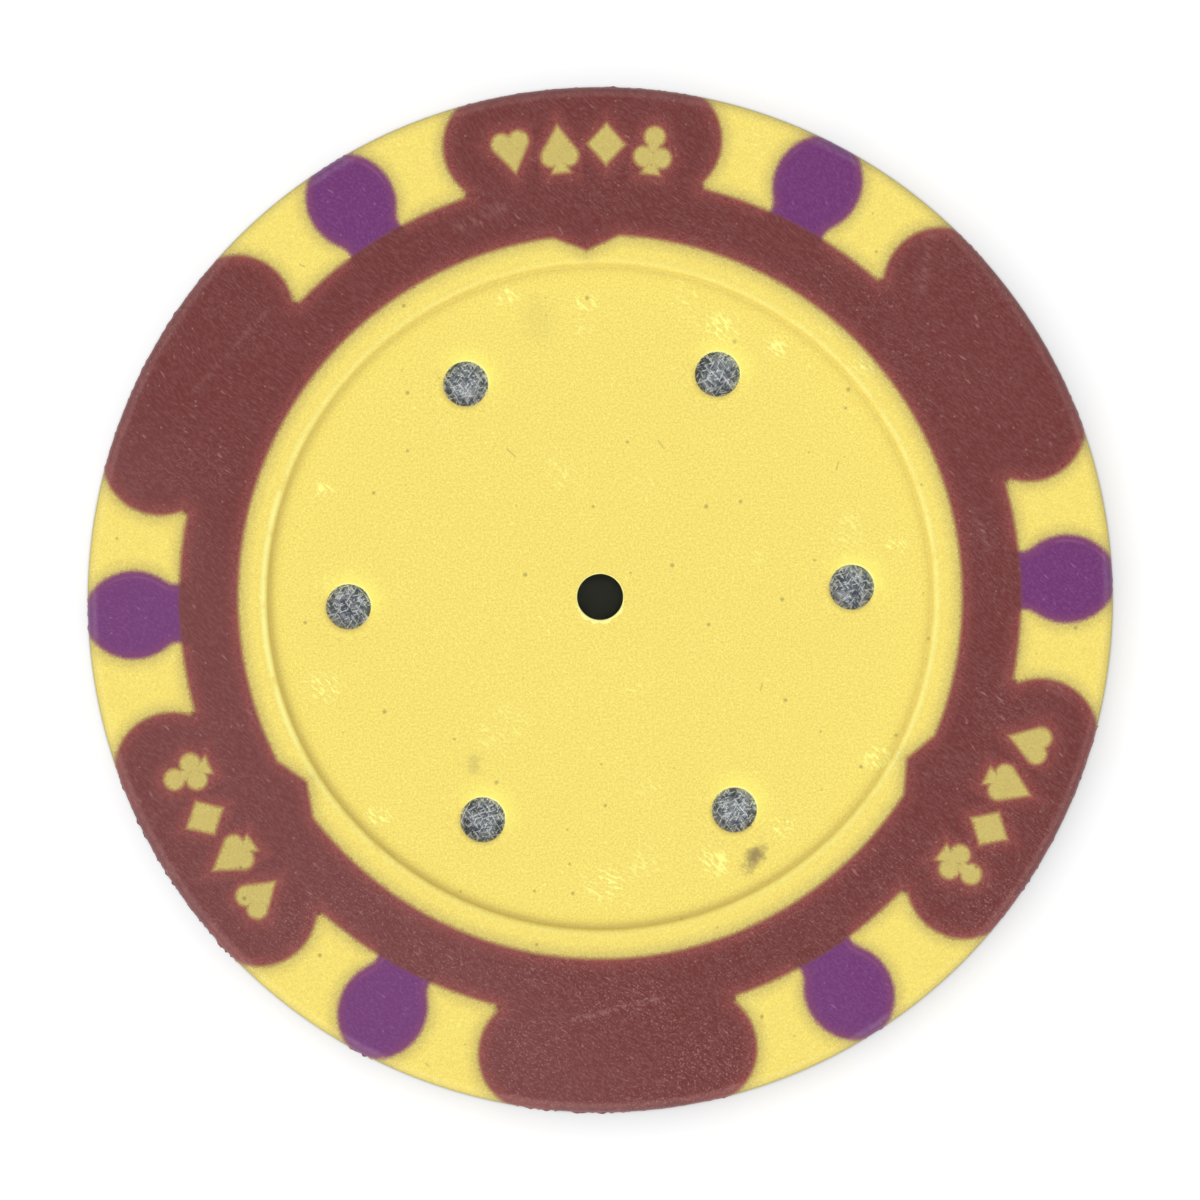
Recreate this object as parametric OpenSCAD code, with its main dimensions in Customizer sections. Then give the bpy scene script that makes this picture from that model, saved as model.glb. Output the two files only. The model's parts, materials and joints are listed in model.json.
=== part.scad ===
// Three-colour moulded poker chip with a steel slug inside.
// The chip lies flat with its axis on Z and its lower face at Z = 0.
// The lower face is the upper face turned over about the Y axis.

/* [Chip] */
// Diameter over the rim
chip_d = 40; // [38.6:0.1:41]
// Thickness between the two flat faces
chip_t = 3.4; // [3.2:0.1:4.2]
// Radius of the two edges of the rim
edge_round = 0.45; // [0.2:0.05:0.7]

/* [Label recess] */
// Depth of the recess in each face
recess_depth = 0.3; // [0.15:0.05:0.5]
// Radius of the lip round the recess
lip_round = 0.2; // [0.05:0.05:0.3]

/* [Steel slug] */
// Distance from the rim in to the edge of the slug
slug_inset = 7; // [6.5:0.1:9]
// Thickness of the slug
slug_t = 2; // [1.2:0.1:2.2]
// Chamfer on the edges of the slug
slug_chamfer = 0.15; // [0.05:0.05:0.3]

/* [Moulding holes] */
// Diameter of the hole through the middle of the chip and the slug
hole_d = 1.8; // [1.2:0.1:3]
// Distance from the recess wall in to the centres of the support pin holes
pin_inset = 3.125; // [2:0.025:5]
// Diameter of one support pin hole
pin_d = 1.75; // [1.2:0.05:2.5]
// Chamfer round the mouth of each hole
mouth_chamfer = 0.1; // [0.04:0.02:0.2]

/* [Bands of the face] */
// Width of the band at the rim, which the lobes and the spots cross
rim_w = 3.58; // [3.3:0.02:4]
// Width of the brown ring inside that band
ring_w = 2.32; // [1.8:0.02:2.6]
// Width of the yellow land between the ring and the recess, which takes a one-inch label
land_w = 1.15; // [0.95:0.05:1.4]

/* [Brown cover] */
// Depth of the cover in each face
skin_t = 0.6; // [0.4:0.05:0.8]
// Thickness of the cover and the spots where they cross the rim
wrap_t = 0.8; // [0.6:0.05:1.2]
// Width of one lobe
lobe_w = 10.9; // [9:0.1:11.6]
// Radius of the two round sides of a lobe
lobe_round = 2.28; // [2:0.02:2.6]
// Distance from the rim in to the centres of those sides
lobe_inset = 2.28; // [1.9:0.02:2.5]
// Width of the pointed tooth on the inside of the ring
point_w = 2.6; // [1.6:0.1:3.4]
// Height of the tooth
point_h = 0.6; // [0.3:0.05:0.75]

/* [Card suits] */
// Height of a heart or a diamond
suit_h = 1.6; // [1.2:0.1:1.8]
// Width of a suit
suit_w = 1.45; // [1.2:0.05:1.6]
// Diameter of the round lobes of a suit
suit_lobe_d = 0.8; // [0.72:0.02:0.9]
// Width of the foot of a spade or a club
foot_w = 0.7; // [0.5:0.05:0.9]
// How far the foot stands out below
foot_h = 0.25; // [0.1:0.05:0.4]
// Distance between two suits along their arc
suit_pitch = 1.85; // [1.75:0.05:2.1]
// Distance from the rim in to that arc
suit_inset = 2.35; // [2.2:0.05:2.8]

/* [Purple spots] */
// Greatest width of a spot
spot_w = 3.46; // [3:0.02:3.9]
// Radius of its two round sides
spot_round = 2.1; // [2:0.05:2.4]
// Distance from the rim in to its widest place
spot_inset = 1.8; // [1.5:0.05:2]
// Width of its neck where it meets the ring
neck_w = 2.3; // [1.8:0.1:2.6]
// Radius of the fillet between the neck and the spot
neck_fillet = 0.6; // [0.4:0.05:0.9]
// Thickness of the tongue that lies under the ring
tongue_t = 0.25; // [0.15:0.05:0.35]
// Length of the tongue
tongue_len = 1.2; // [0.6:0.1:1.6]

/* [Hidden] */
$fn = 128;
spot_count = 6;
lobe_count = 6;
pin_count = 6;
// Every second lobe has a tooth and a row of suits, starting with the one at +Y
marked_count = lobe_count / 2;
suits_in_row = 4;
// How far the cutting bodies run past the faces that they cut
past = 1;

chip_r = chip_d / 2;
ring_out = chip_r - rim_w;
ring_in = ring_out - ring_w;
ring_mid = (ring_in + ring_out) / 2;
recess_r = ring_in - land_w;
recess_floor = chip_t - recess_depth;

slug_r = chip_r - slug_inset;
slug_bottom = (chip_t - slug_t) / 2;
slug_top = slug_bottom + slug_t;
pin_circle_r = recess_r - pin_inset;

lobe_y = chip_r - lobe_inset;
lobe_x = lobe_w / 2 - lobe_round;
point_y = sqrt(pow(ring_in, 2) - pow(point_w / 2, 2));

suit_r = chip_r - suit_inset;
suit_step = suit_pitch / suit_r * 180 / PI;
suit_lobe_r = suit_lobe_d / 2;
suit_lobe_x = suit_w / 2 - suit_lobe_r;
suit_lobe_y = suit_h / 2 - suit_lobe_r;

spot_y = chip_r - spot_inset;
// The two sides of a spot are arcs whose centres lie across its middle line
spot_x = spot_round - spot_w / 2;
fillet_x = neck_w / 2 + neck_fillet;
fillet_y = spot_y - sqrt(pow(spot_round + neck_fillet, 2) - pow(fillet_x + spot_x, 2));
// Where the fillet runs into the side of the spot
blend_x = fillet_x - neck_fillet * (fillet_x + spot_x) / (spot_round + neck_fillet);
spot_depth = skin_t + tongue_t;

// Touching point on a circle of radius r round c of the right-hand tangent from the point p
function tangent_point(p, c, r) =
    let (turn = atan2(p.y - c.y, p.x - c.x) + acos(r / norm(c - p)))
    c + r * [cos(turn), sin(turn)];

// Copies of the children, evenly spaced round the axis
module around(count) {
    for (i = [0 : count - 1])
        rotate(i * 360 / count)
            children();
}

// What the upper face has, on both faces
module both_faces() {
    children();
    translate([0, 0, chip_t])
        rotate([0, 180, 0])
            children();
}

// Half section of the disc, with its rounded rim
module rim_section() {
    square([chip_r - edge_round, chip_t]);
    translate([0, edge_round])
        square([chip_r, chip_t - 2 * edge_round]);
    for (z = [edge_round, chip_t - edge_round])
        translate([chip_r - edge_round, z])
            circle(edge_round);
}

// Half section of what the recess takes out of the upper face, with its rounded lip
module recess_section() {
    translate([0, recess_floor])
        square([recess_r, recess_depth + past]);
    difference() {
        translate([recess_r, chip_t - lip_round])
            square([lip_round, lip_round + past]);
        translate([recess_r + lip_round, chip_t - lip_round])
            circle(lip_round);
    }
}

// The whole outside of the chip, which all the colours share
module chip_blank() {
    rotate_extrude()
        difference() {
            rim_section();
            recess_section();
            translate([0, chip_t])
                mirror([0, 1])
                    recess_section();
        }
}

// Inside of the chip that a colour leaves free when it lies depth deep in both faces
module core(depth) {
    translate([0, 0, depth])
        cylinder(h = chip_t - 2 * depth, r = chip_r - wrap_t);
}

// A plan drawn through the full thickness and past both faces
module full_height() {
    translate([0, 0, -past])
        linear_extrude(chip_t + 2 * past)
            children();
}

// Round hole with its chamfered mouth at the recess floor, down to the height bottom
module mouthed_hole(d, bottom) {
    translate([0, 0, bottom])
        cylinder(h = recess_floor - bottom + past, d = d);
    translate([0, 0, recess_floor - mouth_chamfer])
        cylinder(h = 2 * mouth_chamfer, d1 = d, d2 = d + 4 * mouth_chamfer);
}

module ring_plan() {
    difference() {
        circle(ring_out);
        circle(ring_in);
    }
}

// One lobe on +Y, from the ring to past the rim
module lobe_plan() {
    for (side = [-1, 1])
        translate([side * lobe_x, lobe_y])
            circle(lobe_round);
    translate([-lobe_x, ring_mid])
        square([2 * lobe_x, chip_r + past - ring_mid]);
}

// One tooth on +Y, inside the ring
module point_plan() {
    polygon([
        [-point_w / 2, ring_mid],
        [-point_w / 2, point_y],
        [0, ring_in - point_h],
        [point_w / 2, point_y],
        [point_w / 2, ring_mid]
    ]);
}

module heart() {
    tip = [0, -suit_h / 2];
    lobe = [suit_lobe_x, suit_lobe_y];
    flank = tangent_point(tip, lobe, suit_lobe_r);
    for (side = [-1, 1])
        translate([side * lobe.x, lobe.y])
            circle(suit_lobe_r);
    polygon([tip, flank, lobe, [-lobe.x, lobe.y], [-flank.x, flank.y]]);
}

module diamond() {
    polygon([[0, -suit_h / 2], [suit_w / 2, 0], [0, suit_h / 2], [-suit_w / 2, 0]]);
}

// Foot of a spade or a club
module foot() {
    polygon([
        [0, 0],
        [-foot_w / 2, -suit_h / 2 - foot_h],
        [foot_w / 2, -suit_h / 2 - foot_h]
    ]);
}

module spade() {
    rotate(180)
        heart();
    foot();
}

module club() {
    for (x = [-suit_lobe_x, suit_lobe_x])
        translate([x, -suit_lobe_y])
            circle(suit_lobe_r);
    translate([0, suit_lobe_y])
        circle(suit_lobe_r);
    polygon([[-suit_lobe_x, -suit_lobe_y], [suit_lobe_x, -suit_lobe_y], [0, suit_lobe_y]]);
    foot();
}

// Row of the four suits along an arc of the lobe on +Y
module suit_row() {
    for (i = [0 : suits_in_row - 1])
        rotate((suits_in_row - 1 - 2 * i) / 2 * suit_step)
            translate([0, suit_r]) {
                if (i == 0) heart();
                if (i == 1) spade();
                if (i == 2) diamond();
                if (i == 3) club();
            }
}

module cover_plan() {
    ring_plan();
    around(lobe_count)
        lobe_plan();
    around(marked_count)
        point_plan();
}

// The room that the cover takes up, untrimmed at the faces and the rim
module cover_room() {
    difference() {
        full_height()
            cover_plan();
        core(skin_t);
        both_faces()
            translate([0, 0, chip_t - skin_t])
                linear_extrude(skin_t + 2 * past)
                    around(marked_count)
                        suit_row();
    }
}

// One spot on +Y, with its neck and the tongue that lies under the ring
module spot_plan() {
    intersection_for (side = [-1, 1])
        translate([side * spot_x, spot_y])
            circle(spot_round);
    difference() {
        translate([-blend_x, fillet_y])
            square([2 * blend_x, spot_y - fillet_y]);
        for (side = [-1, 1])
            translate([side * fillet_x, fillet_y])
                circle(neck_fillet);
    }
    translate([-neck_w / 2, ring_out - tongue_len])
        square([neck_w, fillet_y - ring_out + tongue_len]);
}

// The room that one spot takes up, untrimmed at the faces and the rim
module spot_room(i) {
    difference() {
        rotate((i - 1) * 360 / spot_count - 90)
            full_height()
                spot_plan();
        core(spot_depth);
        difference() {
            full_height()
                ring_plan();
            core(skin_t);
        }
    }
}

module steel_slug() {
    color("slategray")
        difference() {
            translate([0, 0, slug_bottom])
                rotate_extrude()
                    polygon([
                        [0, 0],
                        [slug_r - slug_chamfer, 0],
                        [slug_r, slug_chamfer],
                        [slug_r, slug_t - slug_chamfer],
                        [slug_r - slug_chamfer, slug_t],
                        [0, slug_t]
                    ]);
            translate([0, 0, -past])
                cylinder(h = chip_t + 2 * past, d = hole_d);
        }
}

module yellow_body() {
    color("khaki")
        difference() {
            chip_blank();
            cover_room();
            for (i = [1 : spot_count])
                spot_room(i);
            steel_slug();
            both_faces() {
                mouthed_hole(hole_d, chip_t / 2);
                around(pin_count)
                    translate([pin_circle_r, 0])
                        mouthed_hole(pin_d, slug_top);
            }
        }
}

module brown_cover() {
    color("brown")
        intersection() {
            chip_blank();
            cover_room();
        }
}

module purple_spot(i) {
    color("purple")
        intersection() {
            chip_blank();
            spot_room(i);
        }
}

steel_slug();
yellow_body();
brown_cover();
for (i = [1 : spot_count])
    purple_spot(i);
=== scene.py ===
"""Looks of a three-colour moulded poker chip: fine pieces, finishes, floor, light and camera.

Lengths are millimetres until a piece is finished; the finished meshes are in metres.
"""

import json
import logging
import math
from abc import ABC, abstractmethod
from dataclasses import dataclass, field
from enum import Enum
from functools import cached_property
from typing import Any, Callable, Iterable, Optional, Union

import bmesh
import bpy
from mathutils import Matrix, Vector, noise
from mathutils.geometry import delaunay_2d_cdt


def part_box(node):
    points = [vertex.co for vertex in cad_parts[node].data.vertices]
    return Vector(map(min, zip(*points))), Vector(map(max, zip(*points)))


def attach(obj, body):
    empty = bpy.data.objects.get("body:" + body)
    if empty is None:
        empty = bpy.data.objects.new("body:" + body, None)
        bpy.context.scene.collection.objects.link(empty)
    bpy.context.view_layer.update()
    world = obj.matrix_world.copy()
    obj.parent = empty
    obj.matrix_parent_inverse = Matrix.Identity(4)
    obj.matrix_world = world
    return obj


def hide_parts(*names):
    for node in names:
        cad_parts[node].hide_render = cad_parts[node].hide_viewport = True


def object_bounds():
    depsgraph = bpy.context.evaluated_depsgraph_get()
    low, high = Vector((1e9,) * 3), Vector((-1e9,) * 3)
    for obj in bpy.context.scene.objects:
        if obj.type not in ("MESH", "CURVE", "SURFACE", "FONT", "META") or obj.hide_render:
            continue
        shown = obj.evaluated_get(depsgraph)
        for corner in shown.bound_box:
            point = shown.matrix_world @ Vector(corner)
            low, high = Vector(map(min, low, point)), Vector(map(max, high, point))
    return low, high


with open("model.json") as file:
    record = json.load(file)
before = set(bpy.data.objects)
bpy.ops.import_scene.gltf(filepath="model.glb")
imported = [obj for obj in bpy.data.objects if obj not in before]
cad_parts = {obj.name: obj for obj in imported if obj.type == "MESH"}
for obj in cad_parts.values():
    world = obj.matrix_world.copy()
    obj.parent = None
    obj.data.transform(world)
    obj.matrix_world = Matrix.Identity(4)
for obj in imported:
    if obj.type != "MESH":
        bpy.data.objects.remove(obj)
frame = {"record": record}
CAD_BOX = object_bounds()

MM = 0.001
SIXTH = math.tau / 6
BODY = "root"
# Points of the plan closer than this are one point
TOUCH = 1e-5
# Points of the two turned halves closer than this are one point
WELD = 1e-3
# Points this close to the rim's radius lie on its wall
ON_RIM = 1e-4
# The planar cut returns the triangles that lie inside the outlines
INSIDE_ONLY = 1
SHARP_ANGLE = math.radians(38)
# Whole numbers that a shader counts are told apart to within this
WHOLE = 0.1

ORIGIN = Vector((0, 0))
Points = list[Vector]
Pick = Callable[["PlanFace"], bool]
Colour = tuple[float, float, float, float]
Span = tuple[float, float]
# Where an ease leaves its first value and reaches its second, and the two values
Ramp = tuple[float, float, float, float]
# Reach of a fade and its power, and its full value where that isn't 1
Fade = tuple[float, ...]
# Places of the two ends of a stroke
Ends = tuple[float, float, float, float]
Number = Union["Signal", float]

log = logging.getLogger("poker_chip")


def mount(name: str) -> dict[str, Any]:
    """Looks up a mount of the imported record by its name."""
    return next(m for m in frame["record"]["mounts"] if m["name"] == name)


def paint(red: int, green: int, blue: int) -> Colour:
    """Turns a display colour into the linear colour that shaders take.

    Args:
        red: Red from 0 to 255.
        green: Green from 0 to 255.
        blue: Blue from 0 to 255.

    Returns:
        The linear colour with an alpha of 1.
    """
    def linear(level: int) -> float:
        """Undoes the display curve for one channel."""
        part = level / 255
        return part / 12.92 if part <= 0.04045 else ((part + 0.055) / 1.055) ** 2.4

    return linear(red), linear(green), linear(blue), 1.0


def circle(centre: Vector, radius: float, steps: int) -> Points:
    """Draws a circle in the plan with so many corners, counterclockwise from +X."""
    turns = (math.tau * i / steps for i in range(steps))
    return [centre + radius * Vector((math.cos(t), math.sin(t))) for t in turns]


def turned(points: Points, angle: float) -> Points:
    """Turns an outline counterclockwise round the chip's axis, by an angle in radians."""
    turn = Matrix.Rotation(angle, 2)
    return [turn @ p for p in points]


def block(low: Vector, high: Vector) -> Points:
    """Draws an upright rectangle between its lower left and its upper right corner."""
    return [low, Vector((high.x, low.y)), high, Vector((low.x, high.y))]


def arc(centre: Span, radius: float, start: float, stop: float, steps: int) -> Points:
    """Draws an arc of a section from one angle to another, in degrees, in so many stretches."""
    angles = (math.radians(start + (stop - start) * i / steps) for i in range(steps + 1))
    return [Vector(centre) + radius * Vector((math.cos(t), math.sin(t))) for t in angles]


@dataclass(frozen=True)
class PlanFace:
    """One triangle of the plan and the names of the outlines that it lies in."""

    corners: tuple[int, ...]
    names: frozenset[str]

    def within(self, *names: str) -> bool:
        """Says whether the triangle lies in every outline named."""
        return self.names.issuperset(names)


@dataclass
class FacePlan:
    """The upper face seen from above, cut into triangles along every outline drawn on it."""

    points: Points = field(default_factory=list)
    outlines: list[list[int]] = field(default_factory=list)
    names: list[str] = field(default_factory=list)
    faces: list[PlanFace] = field(default_factory=list)

    def draw(self, name: str, outline: Points) -> None:
        """Adds an outline.

        Args:
            name: Name that the triangles inside it get.
            outline: Its corners in order.
        """
        first = len(self.points)
        self.points.extend(outline)
        self.outlines.append(list(range(first, len(self.points))))
        self.names.append(name)

    def cut(self, border: str) -> None:
        """Cuts the face along all its outlines.

        Args:
            border: Name of the outline that everything is trimmed to.
        """
        points, _, faces, _, _, sources = delaunay_2d_cdt(
            self.points, [], self.outlines, INSIDE_ONLY, TOUCH, True
        )
        self.points = list(points)
        cut = (
            PlanFace(tuple(corners), frozenset(self.names[s] for s in source))
            for corners, source in zip(faces, sources)
        )
        self.faces = [face for face in cut if face.within(border)]

    def where(self, picks: Pick) -> list[int]:
        """Lists the places of the triangles that a test picks."""
        return [i for i, face in enumerate(self.faces) if picks(face)]


def always(face: PlanFace) -> bool:
    """Picks every triangle."""
    return True


def never(face: PlanFace) -> bool:
    """Picks no triangle."""
    return False


class Terrace:
    """Upper half of a piece, raised in steps from triangles of the plan."""

    def __init__(self, plan: FacePlan) -> None:
        """Starts with an empty mesh.

        Args:
            plan: The cut plan that the piece is raised from.
        """
        self.plan = plan
        self.bm = bmesh.new()
        self.source = self.bm.faces.layers.int.new("plan_face")

    def lay(self, picked: Iterable[int], height: float) -> None:
        """Lays triangles of the plan flat and joins them to what lies at that height.

        Args:
            picked: Places of the triangles in the plan.
            height: Height to lay them at.
        """
        corners: dict[int, bmesh.types.BMVert] = {}
        for index in picked:
            for corner in self.plan.faces[index].corners:
                if corner not in corners:
                    corners[corner] = self.bm.verts.new((*self.plan.points[corner], height))
            face = self.bm.faces.new([corners[c] for c in self.plan.faces[index].corners])
            face[self.source] = index
        level = [v for v in self.bm.verts if abs(v.co.z - height) < TOUCH]
        bmesh.ops.remove_doubles(self.bm, verts=level, dist=TOUCH)

    def level(self, height: float, picks: Pick = always) -> list[bmesh.types.BMFace]:
        """Finds the flat faces at a height.

        Args:
            height: The height.
            picks: Test of the triangle of the plan that a face comes from.

        Returns:
            The faces.
        """
        return [
            f for f in self.bm.faces
            if picks(self.plan.faces[f[self.source]])
            and all(abs(v.co.z - height) < TOUCH for v in f.verts)
        ]

    def lift(self, low: float, high: float, picks: Pick = always, keeps: Pick = never) -> None:
        """Raises flat faces and walls in the step round them.

        Args:
            low: Height that the faces lie at.
            high: Height that they go to.
            picks: Test of what is raised.
            keeps: Test of what also stays behind as an underside.
        """
        faces = self.level(low, picks)
        grown = bmesh.ops.extrude_face_region(self.bm, geom=faces)["geom"]
        raised = [g for g in grown if isinstance(g, bmesh.types.BMVert)]
        bmesh.ops.translate(self.bm, verts=raised, vec=(0, 0, high - low))
        spent = [f for f in faces if not keeps(self.plan.faces[f[self.source]])]
        bmesh.ops.delete(self.bm, geom=spent, context="FACES")

    def wrap_rim(self, seat: float, middle: float) -> None:
        """Carries what lies outside the core from its seat to the middle plane, and leaves it open."""
        self.lift(seat, middle, picks=lambda face: not face.within("core"))
        bmesh.ops.delete(self.bm, geom=self.level(middle), context="FACES")

    def form(self, top: float, height: Callable[[float, float], float]) -> None:
        """Gives the flat top its form.

        Args:
            top: Height of the flat top.
            height: The form, a height for each place in the plan.
        """
        for vert in self.bm.verts:
            if abs(vert.co.z - top) < TOUCH:
                vert.co.z = height(vert.co.x, vert.co.y)

    def turn_over(self, middle: float) -> None:
        """Adds the lower half, which is the upper one turned over about the Y axis.

        Args:
            middle: Height of the middle plane.
        """
        half = self.bm.verts[:] + self.bm.edges[:] + self.bm.faces[:]
        copy = bmesh.ops.duplicate(self.bm, geom=half)["geom"]
        verts = [g for g in copy if isinstance(g, bmesh.types.BMVert)]
        half_turn = Matrix.Rotation(math.pi, 3, "Y")
        bmesh.ops.rotate(self.bm, verts=verts, cent=(0, 0, middle), matrix=half_turn)
        bmesh.ops.remove_doubles(self.bm, verts=self.bm.verts, dist=WELD)
        bmesh.ops.recalc_face_normals(self.bm, faces=self.bm.faces)


def make_piece(bm: bmesh.types.BMesh, name: str, material: bpy.types.Material) -> bpy.types.Object:
    """Turns a mesh in millimetres into a finished piece in metres.

    Args:
        bm: The mesh, which is freed.
        name: Name of the piece.
        material: Its finish.

    Returns:
        The new object.
    """
    bmesh.ops.scale(bm, vec=(MM, MM, MM), verts=bm.verts)
    for face in bm.faces:
        face.smooth = True
    mesh = bpy.data.meshes.new(name)
    bm.to_mesh(mesh)
    bm.free()
    mesh.set_sharp_from_angle(angle=SHARP_ANGLE)
    mesh.materials.append(material)
    piece = bpy.data.objects.new(name, mesh)
    bpy.context.scene.collection.objects.link(piece)
    return piece


def place(piece: bpy.types.Object, node: str) -> None:
    """Ties a piece to the frame and reports it.

    Args:
        piece: The finished piece.
        node: The CAD node that it stands for.
    """
    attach(piece, BODY)
    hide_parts(node)
    log.info("%s stands for %s, %d faces", piece.name, node, len(piece.data.polygons))


@dataclass(frozen=True)
class ChipForm:
    """The outside that all the colours share."""

    radius: float
    thickness: float
    recess_floor: float
    edge_round: float = 0.45
    recess_r: float = 12.95
    floor_fillet: float = 0.1
    lip_round: float = 0.2
    # Steepness of the recess wall in degrees
    wall_slope: float = 62.0
    # The rim lies a little off the middle of the pattern
    rim_shift: float = -0.11
    wrap: float = 0.8
    # Flat strip beside each round edge, which keeps the flat face flat
    strip: float = 0.04
    fillet_steps: int = 5
    lip_steps: int = 6
    edge_steps: int = 10
    recess_corners: int = 360
    edge_corners: int = 720
    rim_corners: int = 1440

    @classmethod
    def from_frame(cls) -> "ChipForm":
        """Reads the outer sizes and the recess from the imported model."""
        low, high = CAD_BOX
        floor = mount("label_seat_front")["pos_m"][2]
        return cls(radius=(high.x - low.x) / 2 / MM, thickness=high.z / MM, recess_floor=floor / MM)

    @property
    def middle(self) -> float:
        """Height of the middle plane."""
        return self.thickness / 2

    @property
    def rim_centre(self) -> Vector:
        """Middle of the rim in the plan."""
        return Vector((0, self.rim_shift))

    @cached_property
    def recess_section(self) -> Points:
        """The recess wall from the floor up to the land, as (radius, height)."""
        fillet, lip, slope = self.floor_fillet, self.lip_round, self.wall_slope
        foot = Vector((self.recess_r - fillet, self.recess_floor + fillet))
        curve = arc(foot, fillet, -90, slope - 90, self.fillet_steps)
        bend = 1 - math.cos(math.radians(slope))
        rise = self.thickness - lip * bend - curve[-1].y
        lip_at = curve[-1].x + rise / math.tan(math.radians(slope)) + lip * math.sin(math.radians(slope))
        return [
            curve[0] - Vector((self.strip, 0)),
            *curve,
            *arc((lip_at, self.thickness - lip), lip, 90 + slope, 90, self.lip_steps),
            Vector((lip_at + self.strip, self.thickness)),
        ]

    @cached_property
    def edge_section(self) -> Points:
        """The round edge of the rim, as (distance from the rim's own axis, height)."""
        start = self.radius - self.edge_round
        centre = (start, self.thickness - self.edge_round)
        return [
            Vector((start - self.strip, self.thickness)),
            *arc(centre, self.edge_round, 90, 0, self.edge_steps),
        ]

    def draw(self, plan: FacePlan) -> None:
        """Draws the circles of the recess, the wrap and the rim.

        Args:
            plan: The plan, not cut yet.
        """
        for point in self.recess_section:
            plan.draw("recess", circle(ORIGIN, point.x, self.recess_corners))
        for point in self.edge_section[:-1]:
            plan.draw("edge", circle(self.rim_centre, point.x, self.edge_corners))
        plan.draw("core", circle(self.rim_centre, self.radius - self.wrap, self.edge_corners))
        plan.draw("rim", circle(self.rim_centre, self.radius, self.rim_corners))

    @staticmethod
    def read(section: Points, r: float) -> float:
        """Reads a height off a section.

        Args:
            section: The section, outwards.
            r: Distance from its axis.

        Returns:
            The height there, and that of the nearer end beyond the section.
        """
        if r <= section[0].x:
            return section[0].y
        for inner, outer in zip(section, section[1:]):
            if r <= outer.x:
                return inner.y + (outer.y - inner.y) * (r - inner.x) / (outer.x - inner.x)
        return section[-1].y

    def height(self, x: float, y: float) -> float:
        """Gives the height of the upper face.

        Args:
            x: Place in the plan.
            y: Place in the plan.

        Returns:
            The height there.
        """
        recess = self.read(self.recess_section, math.hypot(x, y))
        edge = self.read(self.edge_section, math.hypot(x, y - self.rim_shift))
        return min(recess, edge)


class Suit(Enum):
    """The four card suits, in their order along a row."""

    HEART = 0
    SPADE = 1
    DIAMOND = 2
    CLUB = 3


@dataclass(frozen=True)
class SuitFigure:
    """Outlines of one card suit, upright, with its middle at the origin."""

    height: float = 1.6
    width: float = 1.45
    lobe_r: float = 0.4
    foot_w: float = 0.7
    foot_h: float = 0.25
    # Round fillers that lie inside the figures: height and radius in a heart, radius in a club
    heart_fill: Span = (0.22, 0.3)
    club_fill: float = 0.24
    corners: int = 40

    @property
    def lobe(self) -> Vector:
        """Centre of the upper right lobe."""
        return Vector((self.width / 2 - self.lobe_r, self.height / 2 - self.lobe_r))

    @property
    def tip(self) -> Vector:
        """Tip of the heart."""
        return Vector((0, -self.height / 2))

    @property
    def flank(self) -> Vector:
        """Point at which the heart's straight flank touches its right lobe."""
        away = self.tip - self.lobe
        turn = math.atan2(away.y, away.x) + math.acos(self.lobe_r / away.length)
        return self.lobe + self.lobe_r * Vector((math.cos(turn), math.sin(turn)))

    def heart(self) -> list[Points]:
        """Draws two round lobes and the flanks that touch them and meet in the tip."""
        mirrored = [Vector((-p.x, p.y)) for p in (self.lobe, self.flank)]
        return [
            circle(self.lobe, self.lobe_r, self.corners),
            circle(mirrored[0], self.lobe_r, self.corners),
            [self.tip, self.flank, self.lobe, *mirrored],
        ]

    def foot(self) -> Points:
        """Draws the foot of a spade or a club."""
        base = -self.height / 2 - self.foot_h
        return [ORIGIN, Vector((-self.foot_w / 2, base)), Vector((self.foot_w / 2, base))]

    def diamond(self) -> Points:
        """Draws the four straight sides of a diamond."""
        turns = (Vector((1, 0)), Vector((0, 1)), Vector((-1, 0)), Vector((0, -1)))
        return [Vector((t.x * self.width / 2, t.y * self.height / 2)) for t in turns]

    def club(self) -> list[Points]:
        """Draws three round lobes and the triangle between them."""
        lobe = self.lobe
        middles = [Vector((-lobe.x, -lobe.y)), Vector((lobe.x, -lobe.y)), Vector((0, lobe.y))]
        return [circle(m, self.lobe_r, self.corners) for m in middles] + [middles]

    def outlines(self, suit: Suit) -> list[Points]:
        """Draws a suit.

        Args:
            suit: Which of the four.

        Returns:
            The outlines that make it up together.
        """
        if suit is Suit.HEART:
            return self.heart()
        if suit is Suit.SPADE:
            return [turned(part, math.pi) for part in self.heart()] + [self.foot()]
        if suit is Suit.DIAMOND:
            return [self.diamond()]
        return self.club() + [self.foot()]


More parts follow.
